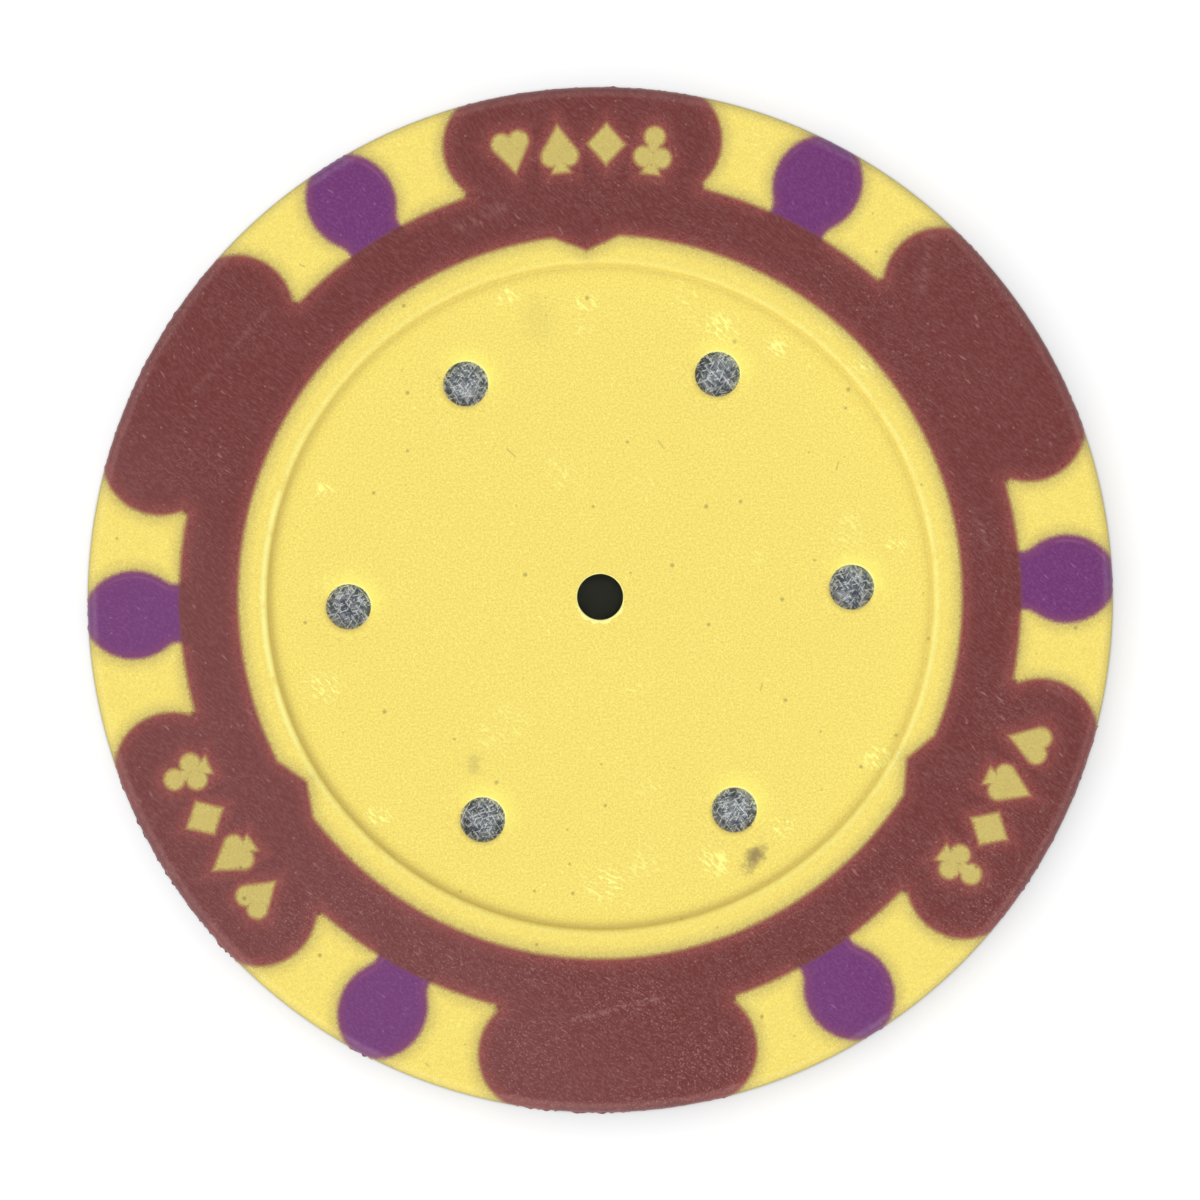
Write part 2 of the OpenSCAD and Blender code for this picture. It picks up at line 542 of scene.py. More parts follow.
@dataclass(frozen=True)
class RimBurr:
    """Ragged flash that stands out where a colour wraps over the rim."""

    height: float = 0.13
    size: float = 0.2
    # Share of the noise that is cut off, so that only its peaks stand out
    cut: float = 0.05
    seed: float = 11.0
    # Size of the patches with more flash, their mean, spread and least
    patch: float = 3.5
    patch_mean: float = 0.65
    patch_spread: float = 0.6
    patch_least: float = 0.2
    # Way to the side of the rim that is smoothest, and how much smoother it is
    smooth_way: Span = (0.64, 0.77)
    smooth_gain: float = 0.35

    def outset(self, place_on_rim: Vector) -> float:
        """Gives how far the flash stands out.

        Args:
            place_on_rim: A place on the rim in millimetres.

        Returns:
            The distance outwards.
        """
        shift = Vector((self.seed, self.seed, self.seed))
        peak = noise.noise(place_on_rim / self.size + shift) - self.cut
        smooth = place_on_rim.xy.normalized().dot(Vector(self.smooth_way))
        patch = self.patch_mean - self.smooth_gain * smooth
        patch += self.patch_spread * noise.noise(place_on_rim / self.patch - shift)
        return self.height * max(0.0, peak) * max(self.patch_least, patch)

    def roughen(self, bm: bmesh.types.BMesh, form: ChipForm, loops: int = 5) -> None:
        """Pushes the wall of the rim out in nubs.

        Args:
            bm: A piece that wraps over the rim.
            form: The outside of the chip.
            loops: Cuts across each upright edge of that wall.
        """
        def on_rim(vert: bmesh.types.BMVert) -> bool:
            """Says whether a point lies on the wall of the rim."""
            return (vert.co.xy - form.rim_centre).length > form.radius - ON_RIM

        upright = [
            e for e in bm.edges
            if all(on_rim(v) for v in e.verts) and (e.verts[0].co - e.verts[1].co).xy.length < TOUCH
        ]
        bmesh.ops.subdivide_edges(bm, edges=upright, cuts=loops, use_grid_fill=True)
        for vert in bm.verts:
            if on_rim(vert):
                vert.co.xy += (vert.co.xy - form.rim_centre).normalized() * self.outset(vert.co)


@dataclass(frozen=True)
class BrownCover:
    """The brown shot: a ring with six lobes over the rim, on both faces."""

    form: ChipForm
    depth: float = 0.6
    ring_in: float = 14.1
    ring_out: float = 16.42
    lobe_x: float = 3.17
    lobe_y: float = 17.72
    lobe_r: float = 2.28
    past_rim: float = 1.0
    tooth_w: float = 2.6
    tooth_h: float = 0.6
    suit_r: float = 17.65
    suit_pitch: float = 1.85
    lobe_count: int = 6
    ring_corners: int = 720
    lobe_corners: int = 120
    figure: SuitFigure = SuitFigure()
    burr: RimBurr = RimBurr()

    @property
    def seat(self) -> float:
        """Height of the seat that the cover lies on."""
        return self.form.thickness - self.depth

    def lobe_outlines(self) -> list[Points]:
        """Draws one lobe on +Y, from the ring to past the rim."""
        ring_mid = (self.ring_in + self.ring_out) / 2
        past = self.form.radius + self.past_rim
        sides = [circle(Vector((x, self.lobe_y)), self.lobe_r, self.lobe_corners)
                 for x in (-self.lobe_x, self.lobe_x)]
        return sides + [block(Vector((-self.lobe_x, ring_mid)), Vector((self.lobe_x, past)))]

    def tooth_outline(self) -> Points:
        """Draws one tooth on +Y, inside the ring."""
        half = self.tooth_w / 2
        side = math.sqrt(self.ring_in ** 2 - half ** 2)
        root = (self.ring_in + self.ring_out) / 2
        corners = ((-half, root), (-half, side), (0, self.ring_in - self.tooth_h), (half, side), (half, root))
        return [Vector(c) for c in corners]

    def suit_outlines(self) -> list[Points]:
        """Draws the row of suits on the lobe on +Y."""
        step = self.suit_pitch / self.suit_r
        row = []
        for suit in Suit:
            angle = ((len(Suit) - 1) / 2 - suit.value) * step
            for part in self.figure.outlines(suit):
                row.append(turned([p + Vector((0, self.suit_r)) for p in part], angle))
        return row

    def draw(self, plan: FacePlan) -> None:
        """Draws the ring, the lobes, the teeth and the suits.

        Args:
            plan: The plan, not cut yet.
        """
        plan.draw("ring_out", circle(ORIGIN, self.ring_out, self.ring_corners))
        plan.draw("ring_in", circle(ORIGIN, self.ring_in, self.ring_corners))
        for i in range(self.lobe_count):
            for part in self.lobe_outlines():
                plan.draw("lobe", turned(part, i * SIXTH))
        for i in range(0, self.lobe_count, 2):
            plan.draw("tooth", turned(self.tooth_outline(), i * SIXTH))
            for part in self.suit_outlines():
                plan.draw("suit", turned(part, i * SIXTH))

    def covers(self, face: PlanFace) -> bool:
        """Says whether a triangle of the plan is brown."""
        ring = face.within("ring_out") and not face.within("ring_in")
        return (ring or face.within("lobe") or face.within("tooth")) and not face.within("suit")

    def build(self, plan: FacePlan, material: bpy.types.Material) -> bpy.types.Object:
        """Raises the cover from the plan.

        Args:
            plan: The cut plan.
            material: Its finish.

        Returns:
            The finished piece.
        """
        form = self.form
        half = Terrace(plan)
        half.lay(plan.where(self.covers), self.seat)
        half.lift(self.seat, form.thickness, keeps=always)
        half.wrap_rim(self.seat, form.middle)
        half.form(form.thickness, form.height)
        half.turn_over(form.middle)
        self.burr.roughen(half.bm, form)
        return make_piece(half.bm, "cover_shot", material)


@dataclass(frozen=True)
class PurpleSpots:
    """Six purple inserts at the rim, each with a neck and a tongue under the ring."""

    form: ChipForm
    cover: BrownCover
    count: int = 6
    side_x: float = 0.37
    side_y: float = 18.2
    side_r: float = 2.1
    neck_w: float = 2.3
    fillet_r: float = 0.6
    tongue_t: float = 0.25
    tongue_len: float = 1.2
    side_corners: int = 120
    fillet_corners: int = 64
    burr: RimBurr = RimBurr(seed=29.0)

    @property
    def seat(self) -> float:
        """Height of the seat that the spots lie on."""
        return self.cover.seat - self.tongue_t

    @property
    def fillet(self) -> Vector:
        """Centre of the right-hand fillet between neck and spot, with the spot on +Y."""
        x = self.neck_w / 2 + self.fillet_r
        reach = math.sqrt((self.side_r + self.fillet_r) ** 2 - (x + self.side_x) ** 2)
        return Vector((x, self.side_y - reach))

    def outlines(self) -> dict[str, list[Points]]:
        """Draws the parts of one spot on +Y by name."""
        fillet = self.fillet
        centre = Vector((-self.side_x, self.side_y))
        blend_x = (fillet + (centre - fillet).normalized() * self.fillet_r).x
        half = self.neck_w / 2
        left_fillet = Vector((-fillet.x, fillet.y))
        tongue_end = self.cover.ring_out - self.tongue_len
        return {
            "left": [circle(centre, self.side_r, self.side_corners)],
            "right": [circle(Vector((self.side_x, self.side_y)), self.side_r, self.side_corners)],
            "shoulder": [block(Vector((-blend_x, fillet.y)), Vector((blend_x, self.side_y)))],
            "fillet": [circle(c, self.fillet_r, self.fillet_corners) for c in (fillet, left_fillet)],
            "neck": [block(Vector((-half, tongue_end)), Vector((half, fillet.y)))],
        }

    def draw(self, plan: FacePlan) -> None:
        """Draws all the spots.

        Args:
            plan: The plan, not cut yet.
        """
        for i in range(self.count):
            for name, parts in self.outlines().items():
                for part in parts:
                    plan.draw(f"{name}_{i}", turned(part, i * SIXTH - math.pi / 2))

    def covers(self, face: PlanFace, i: int) -> bool:
        """Says whether a triangle of the plan is in a spot or over its tongue.

        Args:
            face: The triangle.
            i: Place of the spot in its circle.

        Returns:
            True in the spot.
        """
        lens = face.within(f"left_{i}", f"right_{i}")
        shoulder = face.within(f"shoulder_{i}") and not face.within(f"fillet_{i}")
        return lens or shoulder or face.within(f"neck_{i}")

    def any_covers(self, face: PlanFace) -> bool:
        """Says whether a triangle of the plan is in any spot."""
        return any(self.covers(face, i) for i in range(self.count))

    def build(self, plan: FacePlan, i: int, material: bpy.types.Material) -> bpy.types.Object:
        """Raises one spot from the plan.

        Args:
            plan: The cut plan.
            i: Place of the spot in its circle.
            material: Its finish.

        Returns:
            The finished piece.
        """
        form = self.form
        half = Terrace(plan)
        half.lay(plan.where(lambda face: self.covers(face, i)), self.seat)
        half.lift(self.seat, self.cover.seat, keeps=always)
        half.wrap_rim(self.seat, form.middle)
        half.lift(self.cover.seat, form.thickness, picks=lambda face: not face.within("ring_out"))
        half.form(form.thickness, form.height)
        half.turn_over(form.middle)
        self.burr.roughen(half.bm, form)
        return make_piece(half.bm, f"spot_insert_{i + 1}", material)


@dataclass(frozen=True)
class SteelSlug:
    """The steel weight inside, seen at the bottom of the support pin holes."""

    low: float
    high: float
    radius: float
    hole_r: float
    chamfer: float = 0.15
    steps: int = 180

    @classmethod
    def from_frame(cls) -> "SteelSlug":
        """Reads the slug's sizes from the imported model."""
        low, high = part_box("steel_slug")
        hole = mount("centre_hole")["dims"]["r_mm"]
        return cls(low=low.z / MM, high=high.z / MM, radius=high.x / MM, hole_r=hole)

    def build(self, material: bpy.types.Material) -> bpy.types.Object:
        """Spins the section of the slug round the axis.

        Args:
            material: Its finish.

        Returns:
            The finished piece.
        """
        bm = bmesh.new()
        half = (self.high - self.low) / 2
        middle = self.low + half
        start = Matrix.Translation(((self.radius + self.hole_r) / 2, 0, middle))
        bmesh.ops.create_grid(bm, x_segments=1, y_segments=1, size=half, matrix=start)
        width = (self.radius - self.hole_r) / 2
        bmesh.ops.rotate(bm, verts=bm.verts, cent=start.to_translation(),
                         matrix=Matrix.Rotation(math.pi / 2, 3, "X"))
        bmesh.ops.scale(bm, verts=bm.verts, vec=(width / half, 1, 1),
                        space=start.inverted())
        rim = [v for v in bm.verts if v.co.x > width]
        bmesh.ops.bevel(bm, geom=rim, offset=self.chamfer, affect="VERTICES", segments=1,
                        profile=0.5, material=-1)
        section = bm.edges[:]
        bmesh.ops.delete(bm, geom=bm.faces[:], context="FACES_ONLY")
        bmesh.ops.spin(bm, geom=section + bm.verts[:], cent=(0, 0, 0), axis=(0, 0, 1),
                       angle=math.tau, steps=self.steps, use_merge=True)
        bmesh.ops.remove_doubles(bm, verts=bm.verts, dist=TOUCH)
        bmesh.ops.recalc_face_normals(bm, faces=bm.faces)
        return make_piece(bm, "slug_disc", material)


@dataclass(frozen=True)
class YellowBody:
    """The yellow shot round the slug: recess, land, fields at the rim and suit figures."""

    form: ChipForm
    cover: BrownCover
    spots: PurpleSpots
    slug: SteelSlug
    pin_r: float = 0.875
    pin_circle_r: float = 9.825
    pin_count: int = 6
    # The floor sinks a little towards each pin hole and rises in a ragged lip at the middle hole
    sink: float = 0.05
    sink_reach: float = 0.5
    mouth_round: float = 0.05
    lip_height: float = 0.05
    lip_reach: float = 0.16
    # Mean and spread of the ragged lip, and its waves in a millimetre
    lip_mean: float = 0.6
    lip_spread: float = 0.8
    lip_waves: float = 4.0
    # The mouths end this far inside the recess wall
    mouth_margin: float = 1.0
    pin_rings: tuple[float, ...] = (0.015, 0.035, 0.05, 0.1, 0.2, 0.35, 0.5, 0.7, 0.95)
    hole_rings: tuple[float, ...] = (0.015, 0.035, 0.05, 0.08, 0.12, 0.17, 0.24)
    hole_corners: int = 96
    slug_corners: int = 180

    def pin_centres(self) -> Points:
        """Lists the centres of the support pin holes."""
        return circle(ORIGIN, self.pin_circle_r, self.pin_count)

    def draw(self, plan: FacePlan) -> None:
        """Draws the slug's edge, the holes and the rings round their mouths.

        Args:
            plan: The plan, not cut yet.
        """
        plan.draw("slug", circle(ORIGIN, self.slug.radius, self.slug_corners))
        plan.draw("hole", circle(ORIGIN, self.slug.hole_r, self.hole_corners))
        for step in self.hole_rings:
            plan.draw("mouth", circle(ORIGIN, self.slug.hole_r + step, self.hole_corners))
        for centre in self.pin_centres():
            plan.draw("hole", circle(centre, self.pin_r, self.hole_corners))
            for step in self.pin_rings:
                plan.draw("mouth", circle(centre, self.pin_r + step, self.hole_corners))

    def mouth(self, step: float) -> float:
        """Gives the height of a hole's round mouth against the floor, so far from the hole's wall."""
        gap = max(0.0, self.mouth_round - step)
        return math.sqrt(max(0.0, self.mouth_round ** 2 - gap ** 2)) - self.mouth_round

    def height(self, x: float, y: float) -> float:
        """Gives the height of the yellow face, with the mouths of its holes.

        Args:
            x: Place in the plan.
            y: Place in the plan.

        Returns:
            The height there.
        """
        spot = Vector((x, y))
        height = self.form.height(x, y)
        if spot.length > self.form.recess_r - self.mouth_margin:
            return height
        pin = min((spot - c).length for c in self.pin_centres()) - self.pin_r
        height += self.mouth(pin) - self.sink * math.exp(-((pin / self.sink_reach) ** 2))
        step = spot.length - self.slug.hole_r
        below = (1 - y / spot.length) / 2
        ragged = self.lip_mean + self.lip_spread * noise.noise(spot.to_3d() * self.lip_waves)
        lip = self.lip_height * below * ragged * math.exp(-((step / self.lip_reach) ** 2))
        return height + lip + self.mouth(step)

    def stands(self, face: PlanFace) -> bool:
        """Says whether yellow stands in a triangle of the plan at some height."""
        wrapped = self.cover.covers(face) or self.spots.any_covers(face)
        return not face.within("hole") and (face.within("core") or not wrapped)

    def build(self, plan: FacePlan, material: bpy.types.Material) -> bpy.types.Object:
        """Raises the body from the plan, terrace by terrace.

        Args:
            plan: The cut plan.
            material: Its finish.

        Returns:
            The finished piece.
        """
        form, slug_top = self.form, self.slug.high
        spot_seat, cover_seat = self.spots.seat, self.cover.seat

        def over_slug(face: PlanFace) -> bool:
            """Says whether a triangle lies over the slug."""
            return face.within("slug")

        def clear_of_spots(face: PlanFace) -> bool:
            """Says whether a triangle is no seat of a spot."""
            return not self.spots.any_covers(face)

        def bare(face: PlanFace) -> bool:
            """Says whether yellow shows in a triangle."""
            return clear_of_spots(face) and not self.cover.covers(face)

        half = Terrace(plan)
        half.lay(plan.where(lambda face: self.stands(face) and not over_slug(face)), form.middle)
        half.lift(form.middle, spot_seat)
        half.lift(spot_seat, slug_top, picks=clear_of_spots)
        half.lay(plan.where(lambda face: self.stands(face) and over_slug(face)), slug_top)
        half.lift(slug_top, cover_seat, keeps=over_slug)
        half.lift(cover_seat, form.thickness, picks=bare)
        half.form(form.thickness, self.height)
        half.turn_over(form.middle)
        return make_piece(half.bm, "body_shot", material)


class Signal:
    """A value that varies over a surface: a socket that Python arithmetic goes on from."""

    def __init__(self, nodes: "Nodes", socket: bpy.types.NodeSocket) -> None:
        """Wraps an output socket of a tree."""
        self.nodes = nodes
        self.socket = socket

    def math(self, operation: str, *operands: Number) -> "Signal":
        """Adds a Math node for an operation, with its operands in order."""
        settings = {"operation": operation}
        return self.nodes.add("ShaderNodeMath", settings, dict(enumerate(operands)))

    def __add__(self, other: Number) -> "Signal":
        """Adds."""
        return self.math("ADD", self, other)

    def __radd__(self, other: Number) -> "Signal":
        """Adds to a number."""
        return self.math("ADD", other, self)

    def __sub__(self, other: Number) -> "Signal":
        """Takes away."""
        return self.math("SUBTRACT", self, other)

    def __rsub__(self, other: Number) -> "Signal":
        """Takes away from a number."""
        return self.math("SUBTRACT", other, self)

    def __mul__(self, other: Number) -> "Signal":
        """Multiplies."""
        return self.math("MULTIPLY", self, other)

    def __rmul__(self, other: Number) -> "Signal":
        """Multiplies a number."""
        return self.math("MULTIPLY", other, self)

    def __truediv__(self, other: Number) -> "Signal":
        """Divides."""
        return self.math("DIVIDE", self, other)

    def __pow__(self, other: Number) -> "Signal":
        """Raises to a power."""
        return self.math("POWER", self, other)

    def __abs__(self) -> "Signal":
        """Drops the sign."""
        return self.math("ABSOLUTE", self)

    def __neg__(self) -> "Signal":
        """Turns the sign."""
        return self.math("MULTIPLY", self, -1.0)

    def lowest(self, other: Number) -> "Signal":
        """Gives the lower of two values."""
        return self.math("MINIMUM", self, other)

    def highest(self, other: Number) -> "Signal":
        """Gives the higher of two values."""
        return self.math("MAXIMUM", self, other)

    def ease(self, leave: float, reach: float, first: float = 0.0, second: float = 1.0) -> "Signal":
        """Goes smoothly from one value to another.

        Args:
            leave: Where it leaves the first value.
            reach: Where it reaches the second, which may be lower than where it leaves the first.
            first: The first value.
            second: The second value.

        Returns:
            The eased value.
        """
        ends = {1: leave, 2: reach, 3: first, 4: second}
        if leave > reach:
            ends = {1: reach, 2: leave, 3: second, 4: first}
        return self.nodes.add("ShaderNodeMapRange", {"interpolation_type": "SMOOTHSTEP"}, {0: self, **ends})

    def fade(self, reach: float, power: float = 1.0, full: float = 1.0) -> "Signal":
        """Falls from its full value, at zero and below, to 0.

        Args:
            reach: Where it reaches 0.
            power: Power that it falls by, 1 for a straight line.
            full: The full value.

        Returns:
            The value.
        """
        line = self.nodes.add("ShaderNodeMapRange", {}, {0: self, 1: 0.0, 2: reach, 3: 1.0, 4: 0.0})
        return line if power == full == 1.0 else line ** power * full

    def sway(self, reach: Number) -> "Signal":
        """Turns a noise that varies round one half into a shift to both sides."""
        return (self - 0.5) * reach


class Nodes:
    """Adds nodes to the tree of a material or of the world."""

    def __init__(self, tree: bpy.types.NodeTree) -> None:
        """Takes a tree and empties it."""
        self.tree = tree
        tree.nodes.clear()

    def node(self, kind: str, settings: dict[str, Any], inputs: dict[Any, Any]) -> bpy.types.Node:
        """Adds any node.

        Args:
            kind: Type of the node.
            settings: Its own settings, which are set first.
            inputs: Values, signals or sockets for its inputs, by place or name.

        Returns:
            The node.
        """
        node = self.tree.nodes.new(kind)
        for name, value in settings.items():
            setattr(node, name, value)
        for key, value in inputs.items():
            if isinstance(value, Signal):
                value = value.socket
            if isinstance(value, bpy.types.NodeSocket):
                self.tree.links.new(value, node.inputs[key])
            else:
                node.inputs[key].default_value = value
        return node

    def add(
        self, kind: str, settings: dict[str, Any], inputs: dict[Any, Any], output: Any = 0
    ) -> Signal:
        """Adds a node, as node does, for one of its outputs, given by place or name."""
        return Signal(self, self.node(kind, settings, inputs).outputs[output])

    def vector(self, operation: str, *operands: Any) -> Signal:
        """Adds a Vector Math node for an operation, with its operands in order."""
        return self.add("ShaderNodeVectorMath", {"operation": operation}, dict(enumerate(operands)))

    def rotated(self, vector: Signal, turn: float) -> Signal:
        """Turns a vector about Z by an angle in radians."""
        inputs = {"Vector": vector, "Angle": turn}
        return self.add("ShaderNodeVectorRotate", {"rotation_type": "Z_AXIS"}, inputs)

    def split(self, vector: Signal) -> tuple[Signal, ...]:
        """Takes a vector apart into its three parts."""
        parts = self.node("ShaderNodeSeparateXYZ", {}, {0: vector})
        return tuple(Signal(self, socket) for socket in parts.outputs)

    def noise(self, vector: Signal, waves: float, detail: float = 1.0, rough: float = 0.5) -> Signal:
        """Adds a noise that varies round one half.

        Args:
            vector: Where it is read.
            waves: Waves in each unit of that vector.
            detail: Number of finer layers.
            rough: Strength of those layers.

        Returns:
            The noise.
        """
        inputs = {"Vector": vector, "Scale": waves, "Detail": detail, "Roughness": rough}
        return self.add("ShaderNodeTexNoise", {}, inputs)

    def mix(self, factor: Number, first: Any, second: Any, blend: str = "MIX") -> Signal:
        """Mixes a share of a second colour into a first one, in the way that blend names."""
        settings = {"data_type": "RGBA", "blend_type": blend}
        return self.add("ShaderNodeMix", settings, {0: factor, 6: first, 7: second}, 2)

    def layered(self, colour: Any, layers: Iterable[tuple[Number, Any]]) -> Signal:
        """Lays colours over a first one.

        Args:
            colour: The lowest colour.
            layers: Share and colour of each layer, upwards.

        Returns:
            The colour that shows.
        """
        for share, over in layers:
            colour = self.mix(share, colour, over)
        return colour


@dataclass(frozen=True)
class Pattern:
    """A noise over the chip that is cut into marks, drawn out into hairs or not."""

    # Waves in a millimetre, and the values of the noise at which the marks begin and are full
    waves: float
    zero: float
    one: float
    # Waves in a millimetre along the hairs, if it is drawn out
    along: Optional[float] = None
    detail: float = 1.0
    rough: float = 0.5
    # What the marks add, and what lies between them
    share: float = 1.0
    least: float = 0.0


@dataclass(frozen=True)
class Specks:
    """Round specks of uneven size on the flat faces, at most one in each cell."""

    # Cells in a millimetre, part of them without a speck, radius of the largest speck, and strength
    density: float
    empty: float
    size: float
    share: float
    # Softness of a speck against the largest, and of the choice of the cells that have one
    soft: float = 0.5
    pick_soft: float = 0.05


@dataclass(frozen=True)
class Smudge:
    """A dirty spot with a ragged edge on the upper face."""

    x: float
    y: float
    # Where it ends, where it is full, its strength there and how ragged it is
    reach: float
    core: float
    strength: float
    rag: float
    # Factors that make it narrower along each axis, and its skew
    narrow_x: float = 1.0
    narrow_y: float = 1.0
    skew: float = 0.0


class FaceMap:
    """Places and distances on the chip in millimetres, read from Object coordinates."""

    # Half the width of the strip in which two colours run into each other, and how ragged it is
    seam: float = 0.12
    seam_rag: float = 0.28
    # The notches between the ring and the lobes end where they are this narrow, softened a little before
    notch_end: float = 0.24
    notch_soft: float = 0.6
    # Waves in a millimetre of the two layers of the grain, and share of the first
    grain_waves: Span = (11.0, 20.0)
    grain_share: float = 0.45
    # Way of the hairs, and the waves in a millimetre and reach of the slow shift that bends them
    hair_angle: float = math.radians(138)
    warp_waves: float = 0.15
    warp_reach: float = 2.0
    # Heights from the middle plane between which the flat faces begin
    flat_from: Span = (1.2, 1.3)
    # Strength of the surface marks along Y
    rub: Ramp = (9.0, -15.0, 0.44, 0.5)
    # Way to the side of the face where the painted sheen is stronger
    sheen_way: Span = (-0.82, -0.57)
    # Wear and painted sheen of the round edge, from the flat face outwards, the depths at which they begin,
    # and their patches
    wear_sheen_in: Span = (-0.02, 0.16)
    wear_sheen_out: Ramp = (0.22, 0.4, 1.0, 0.5)
    wear_sheen_depth: Span = (0.8, 0.45)
    wear_sheen_patches: Pattern = Pattern(
        waves=3.0, zero=0.34, one=0.66, detail=3.0, rough=0.65, share=0.8, least=0.25
    )
    # Depths, and distances in from the rim, between which the line of painted shade begins
    shade_line_depth: Span = (0.6, 0.4)
    shade_line_in: Span = (0.1, 0.02)

    def __init__(self, nodes: Nodes, body: YellowBody) -> None:
        """Adds the nodes that all the finishes share.

        Args:
            nodes: The tree of a finish.
            body: The yellow body, which knows all the colours' sizes.
        """
        self.nodes = nodes
        self.body = body
        metres = nodes.add("ShaderNodeTexCoord", {}, {}, "Object")
        self.place = nodes.vector("MULTIPLY", metres, (1 / MM, 1 / MM, 1 / MM))
        self.x, self.y, self.z = nodes.split(self.place)
        self.r = self.length(self.x, self.y)
        self.rim_r = self.length(self.x, self.y - body.form.rim_shift)
        self.angle = self.y.math("ARCTAN2", self.y, self.x)

    @staticmethod
    def length(x: Signal, y: Signal) -> Signal:
        """Gives the length of the vector with two parts."""
        square = x * x + y * y
        return square.math("SQRT", square)

    @staticmethod
    def facing(x: Signal, y: Signal, r: Signal, way: Span) -> Signal:
        """Gives how far the direction of (x, y), which is r long, turns to a way: 1 at most."""
        return (x * way[0] + y * way[1]) / r

    @cached_property
    def front(self) -> Signal:
        """One on the upper half and zero on the lower."""
        return self.z.math("GREATER_THAN", self.z, self.body.form.middle)

    @cached_property
    def off_middle(self) -> Signal:
        """Height from the middle plane, up or down."""
        return abs(self.z - self.body.form.middle)

    def below_face(self, depths: Span) -> Signal:
        """Rises from 0 at the first depth under the nearer face to 1 at the second."""
        return self.off_middle.ease(*(self.body.form.middle - depth for depth in depths))

    def noise(self, waves: float, detail: float = 1.0, rough: float = 0.5) -> Signal:
        """Adds a noise over the chip, as Nodes.noise does."""
        return self.nodes.noise(self.place, waves, detail, rough)

    @cached_property
    def grain(self) -> Signal:
        """The fine grain of the moulded plastic."""
        coarse, fine = (self.noise(waves) for waves in self.grain_waves)
        return coarse * self.grain_share + fine * (1 - self.grain_share)

    @cached_property
    def slow_warp(self) -> Signal:
        """A slow shift that bends the hairs, in millimetres."""
        return self.noise(self.warp_waves).sway(self.warp_reach)

    def hair(self, across: float, along: float) -> Signal:
        """Adds a noise drawn out into short hairs that all run about one way.

        Args:
            across: Hairs in a millimetre.
            along: Waves in a millimetre along the hairs.

        Returns:
            The noise, which varies round one half.
        """
        length, width, height = self.nodes.split(self.nodes.rotated(self.place, -self.hair_angle))
        bent = {0: length * along, 1: (width + self.slow_warp) * across, 2: height * across}
        return self.nodes.noise(self.nodes.add("ShaderNodeCombineXYZ", {}, bent), 1.0)

    def marks(self, pattern: Pattern) -> Signal:
        """Cuts a noise into marks.

        Args:
            pattern: The noise and its cut.

        Returns:
            Their strength.
        """
        if pattern.along is None:
            plain = self.noise(pattern.waves, pattern.detail, pattern.rough)
        else:
            plain = self.hair(pattern.waves, pattern.along)
        return plain.ease(pattern.zero, pattern.one, pattern.least, pattern.least + pattern.share)

    def dots(self, specks: Specks) -> Signal:
        """Marks round specks on the flat faces.

        Args:
            specks: Their number and size.

        Returns:
            Their strength.
        """
        inputs = {"Vector": self.place, "Scale": specks.density}
        cells = self.nodes.node("ShaderNodeTexVoronoi", {"voronoi_dimensions": "2D"}, inputs)
        distance = Signal(self.nodes, cells.outputs["Distance"]) / specks.density
        pick = self.nodes.add("ShaderNodeSeparateColor", {}, {0: cells.outputs["Color"]})
        radius = pick.ease(specks.empty, 1.0) * specks.size
        soft = specks.soft * specks.size
        there = pick.ease(specks.empty, specks.empty + specks.pick_soft)
        dots = (distance - radius).ease(soft, -soft, 0.0, specks.share)
        return dots * there * self.off_middle.ease(*self.flat_from)

    def stroke(self, ends: Ends, width: float) -> Signal:
        """Marks a straight stroke on the upper face.

        Args:
            ends: Places of its two ends.
            width: Half its width.

        Returns:
            One on its line, and nothing beyond its sides.
        """
        start, run = Vector(ends[:2]), Vector(ends[2:]) - Vector(ends[:2])
        x, y = self.x - start.x, self.y - start.y
        share = ((x * run.x + y * run.y) / run.length_squared).highest(0.0).lowest(1.0)
        return self.length(x - share * run.x, y - share * run.y).fade(width) * self.front

    @cached_property
    def rubbed(self) -> Signal:
        """Strength of the surface marks, which grows towards one side of the chip."""
        return self.y.ease(*self.rub)

    def folded(self, start: float, reach: float) -> tuple[Signal, Signal]:
        """Folds the face on itself like a paper star.

        Args:
            start: Angle of one of the axes that it is folded to.
            reach: Angle from an axis to the next fold.

        Returns:
            Distance from the nearest axis, and distance along it.
        """
        away = self.angle.math("PINGPONG", self.angle - start, reach)
        return self.r * away.math("SINE", away), self.r * away.math("COSINE", away)

    def from_lobes(self) -> Signal:
        """Gives the distance to the nearest lobe, negative inside it."""
        cover = self.body.cover
        across, along = self.folded(SIXTH / 2, SIXTH / 2)
        side = across - cover.lobe_x
        ends = self.length(side.highest(0.0), along - cover.lobe_y) - cover.lobe_r
        return ends.lowest(side.highest(cover.ring_out - along))

    def from_teeth(self) -> Signal:
        """Gives the distance to the nearest tooth, negative inside it."""
        cover = self.body.cover
        across, along = self.folded(math.pi / 2, SIXTH)
        tip = cover.ring_in - cover.tooth_h
        flank = Vector((cover.tooth_w / 2, cover.tooth_outline()[1].y - tip)).normalized()
        return across * flank.y - (along - tip) * flank.x

    @cached_property
    def from_cover(self) -> Signal:
        """Distance to the brown cover with its windows filled, negative inside it."""
        cover = self.body.cover
        inner = (cover.ring_in - self.r).lowest(self.from_teeth())
        ring = inner.highest(self.r - cover.ring_out)
        lobes = self.from_lobes()
        return ring.math("SMOOTH_MIN", ring, lobes, self.notch_soft).lowest(ring + lobes - self.notch_end)

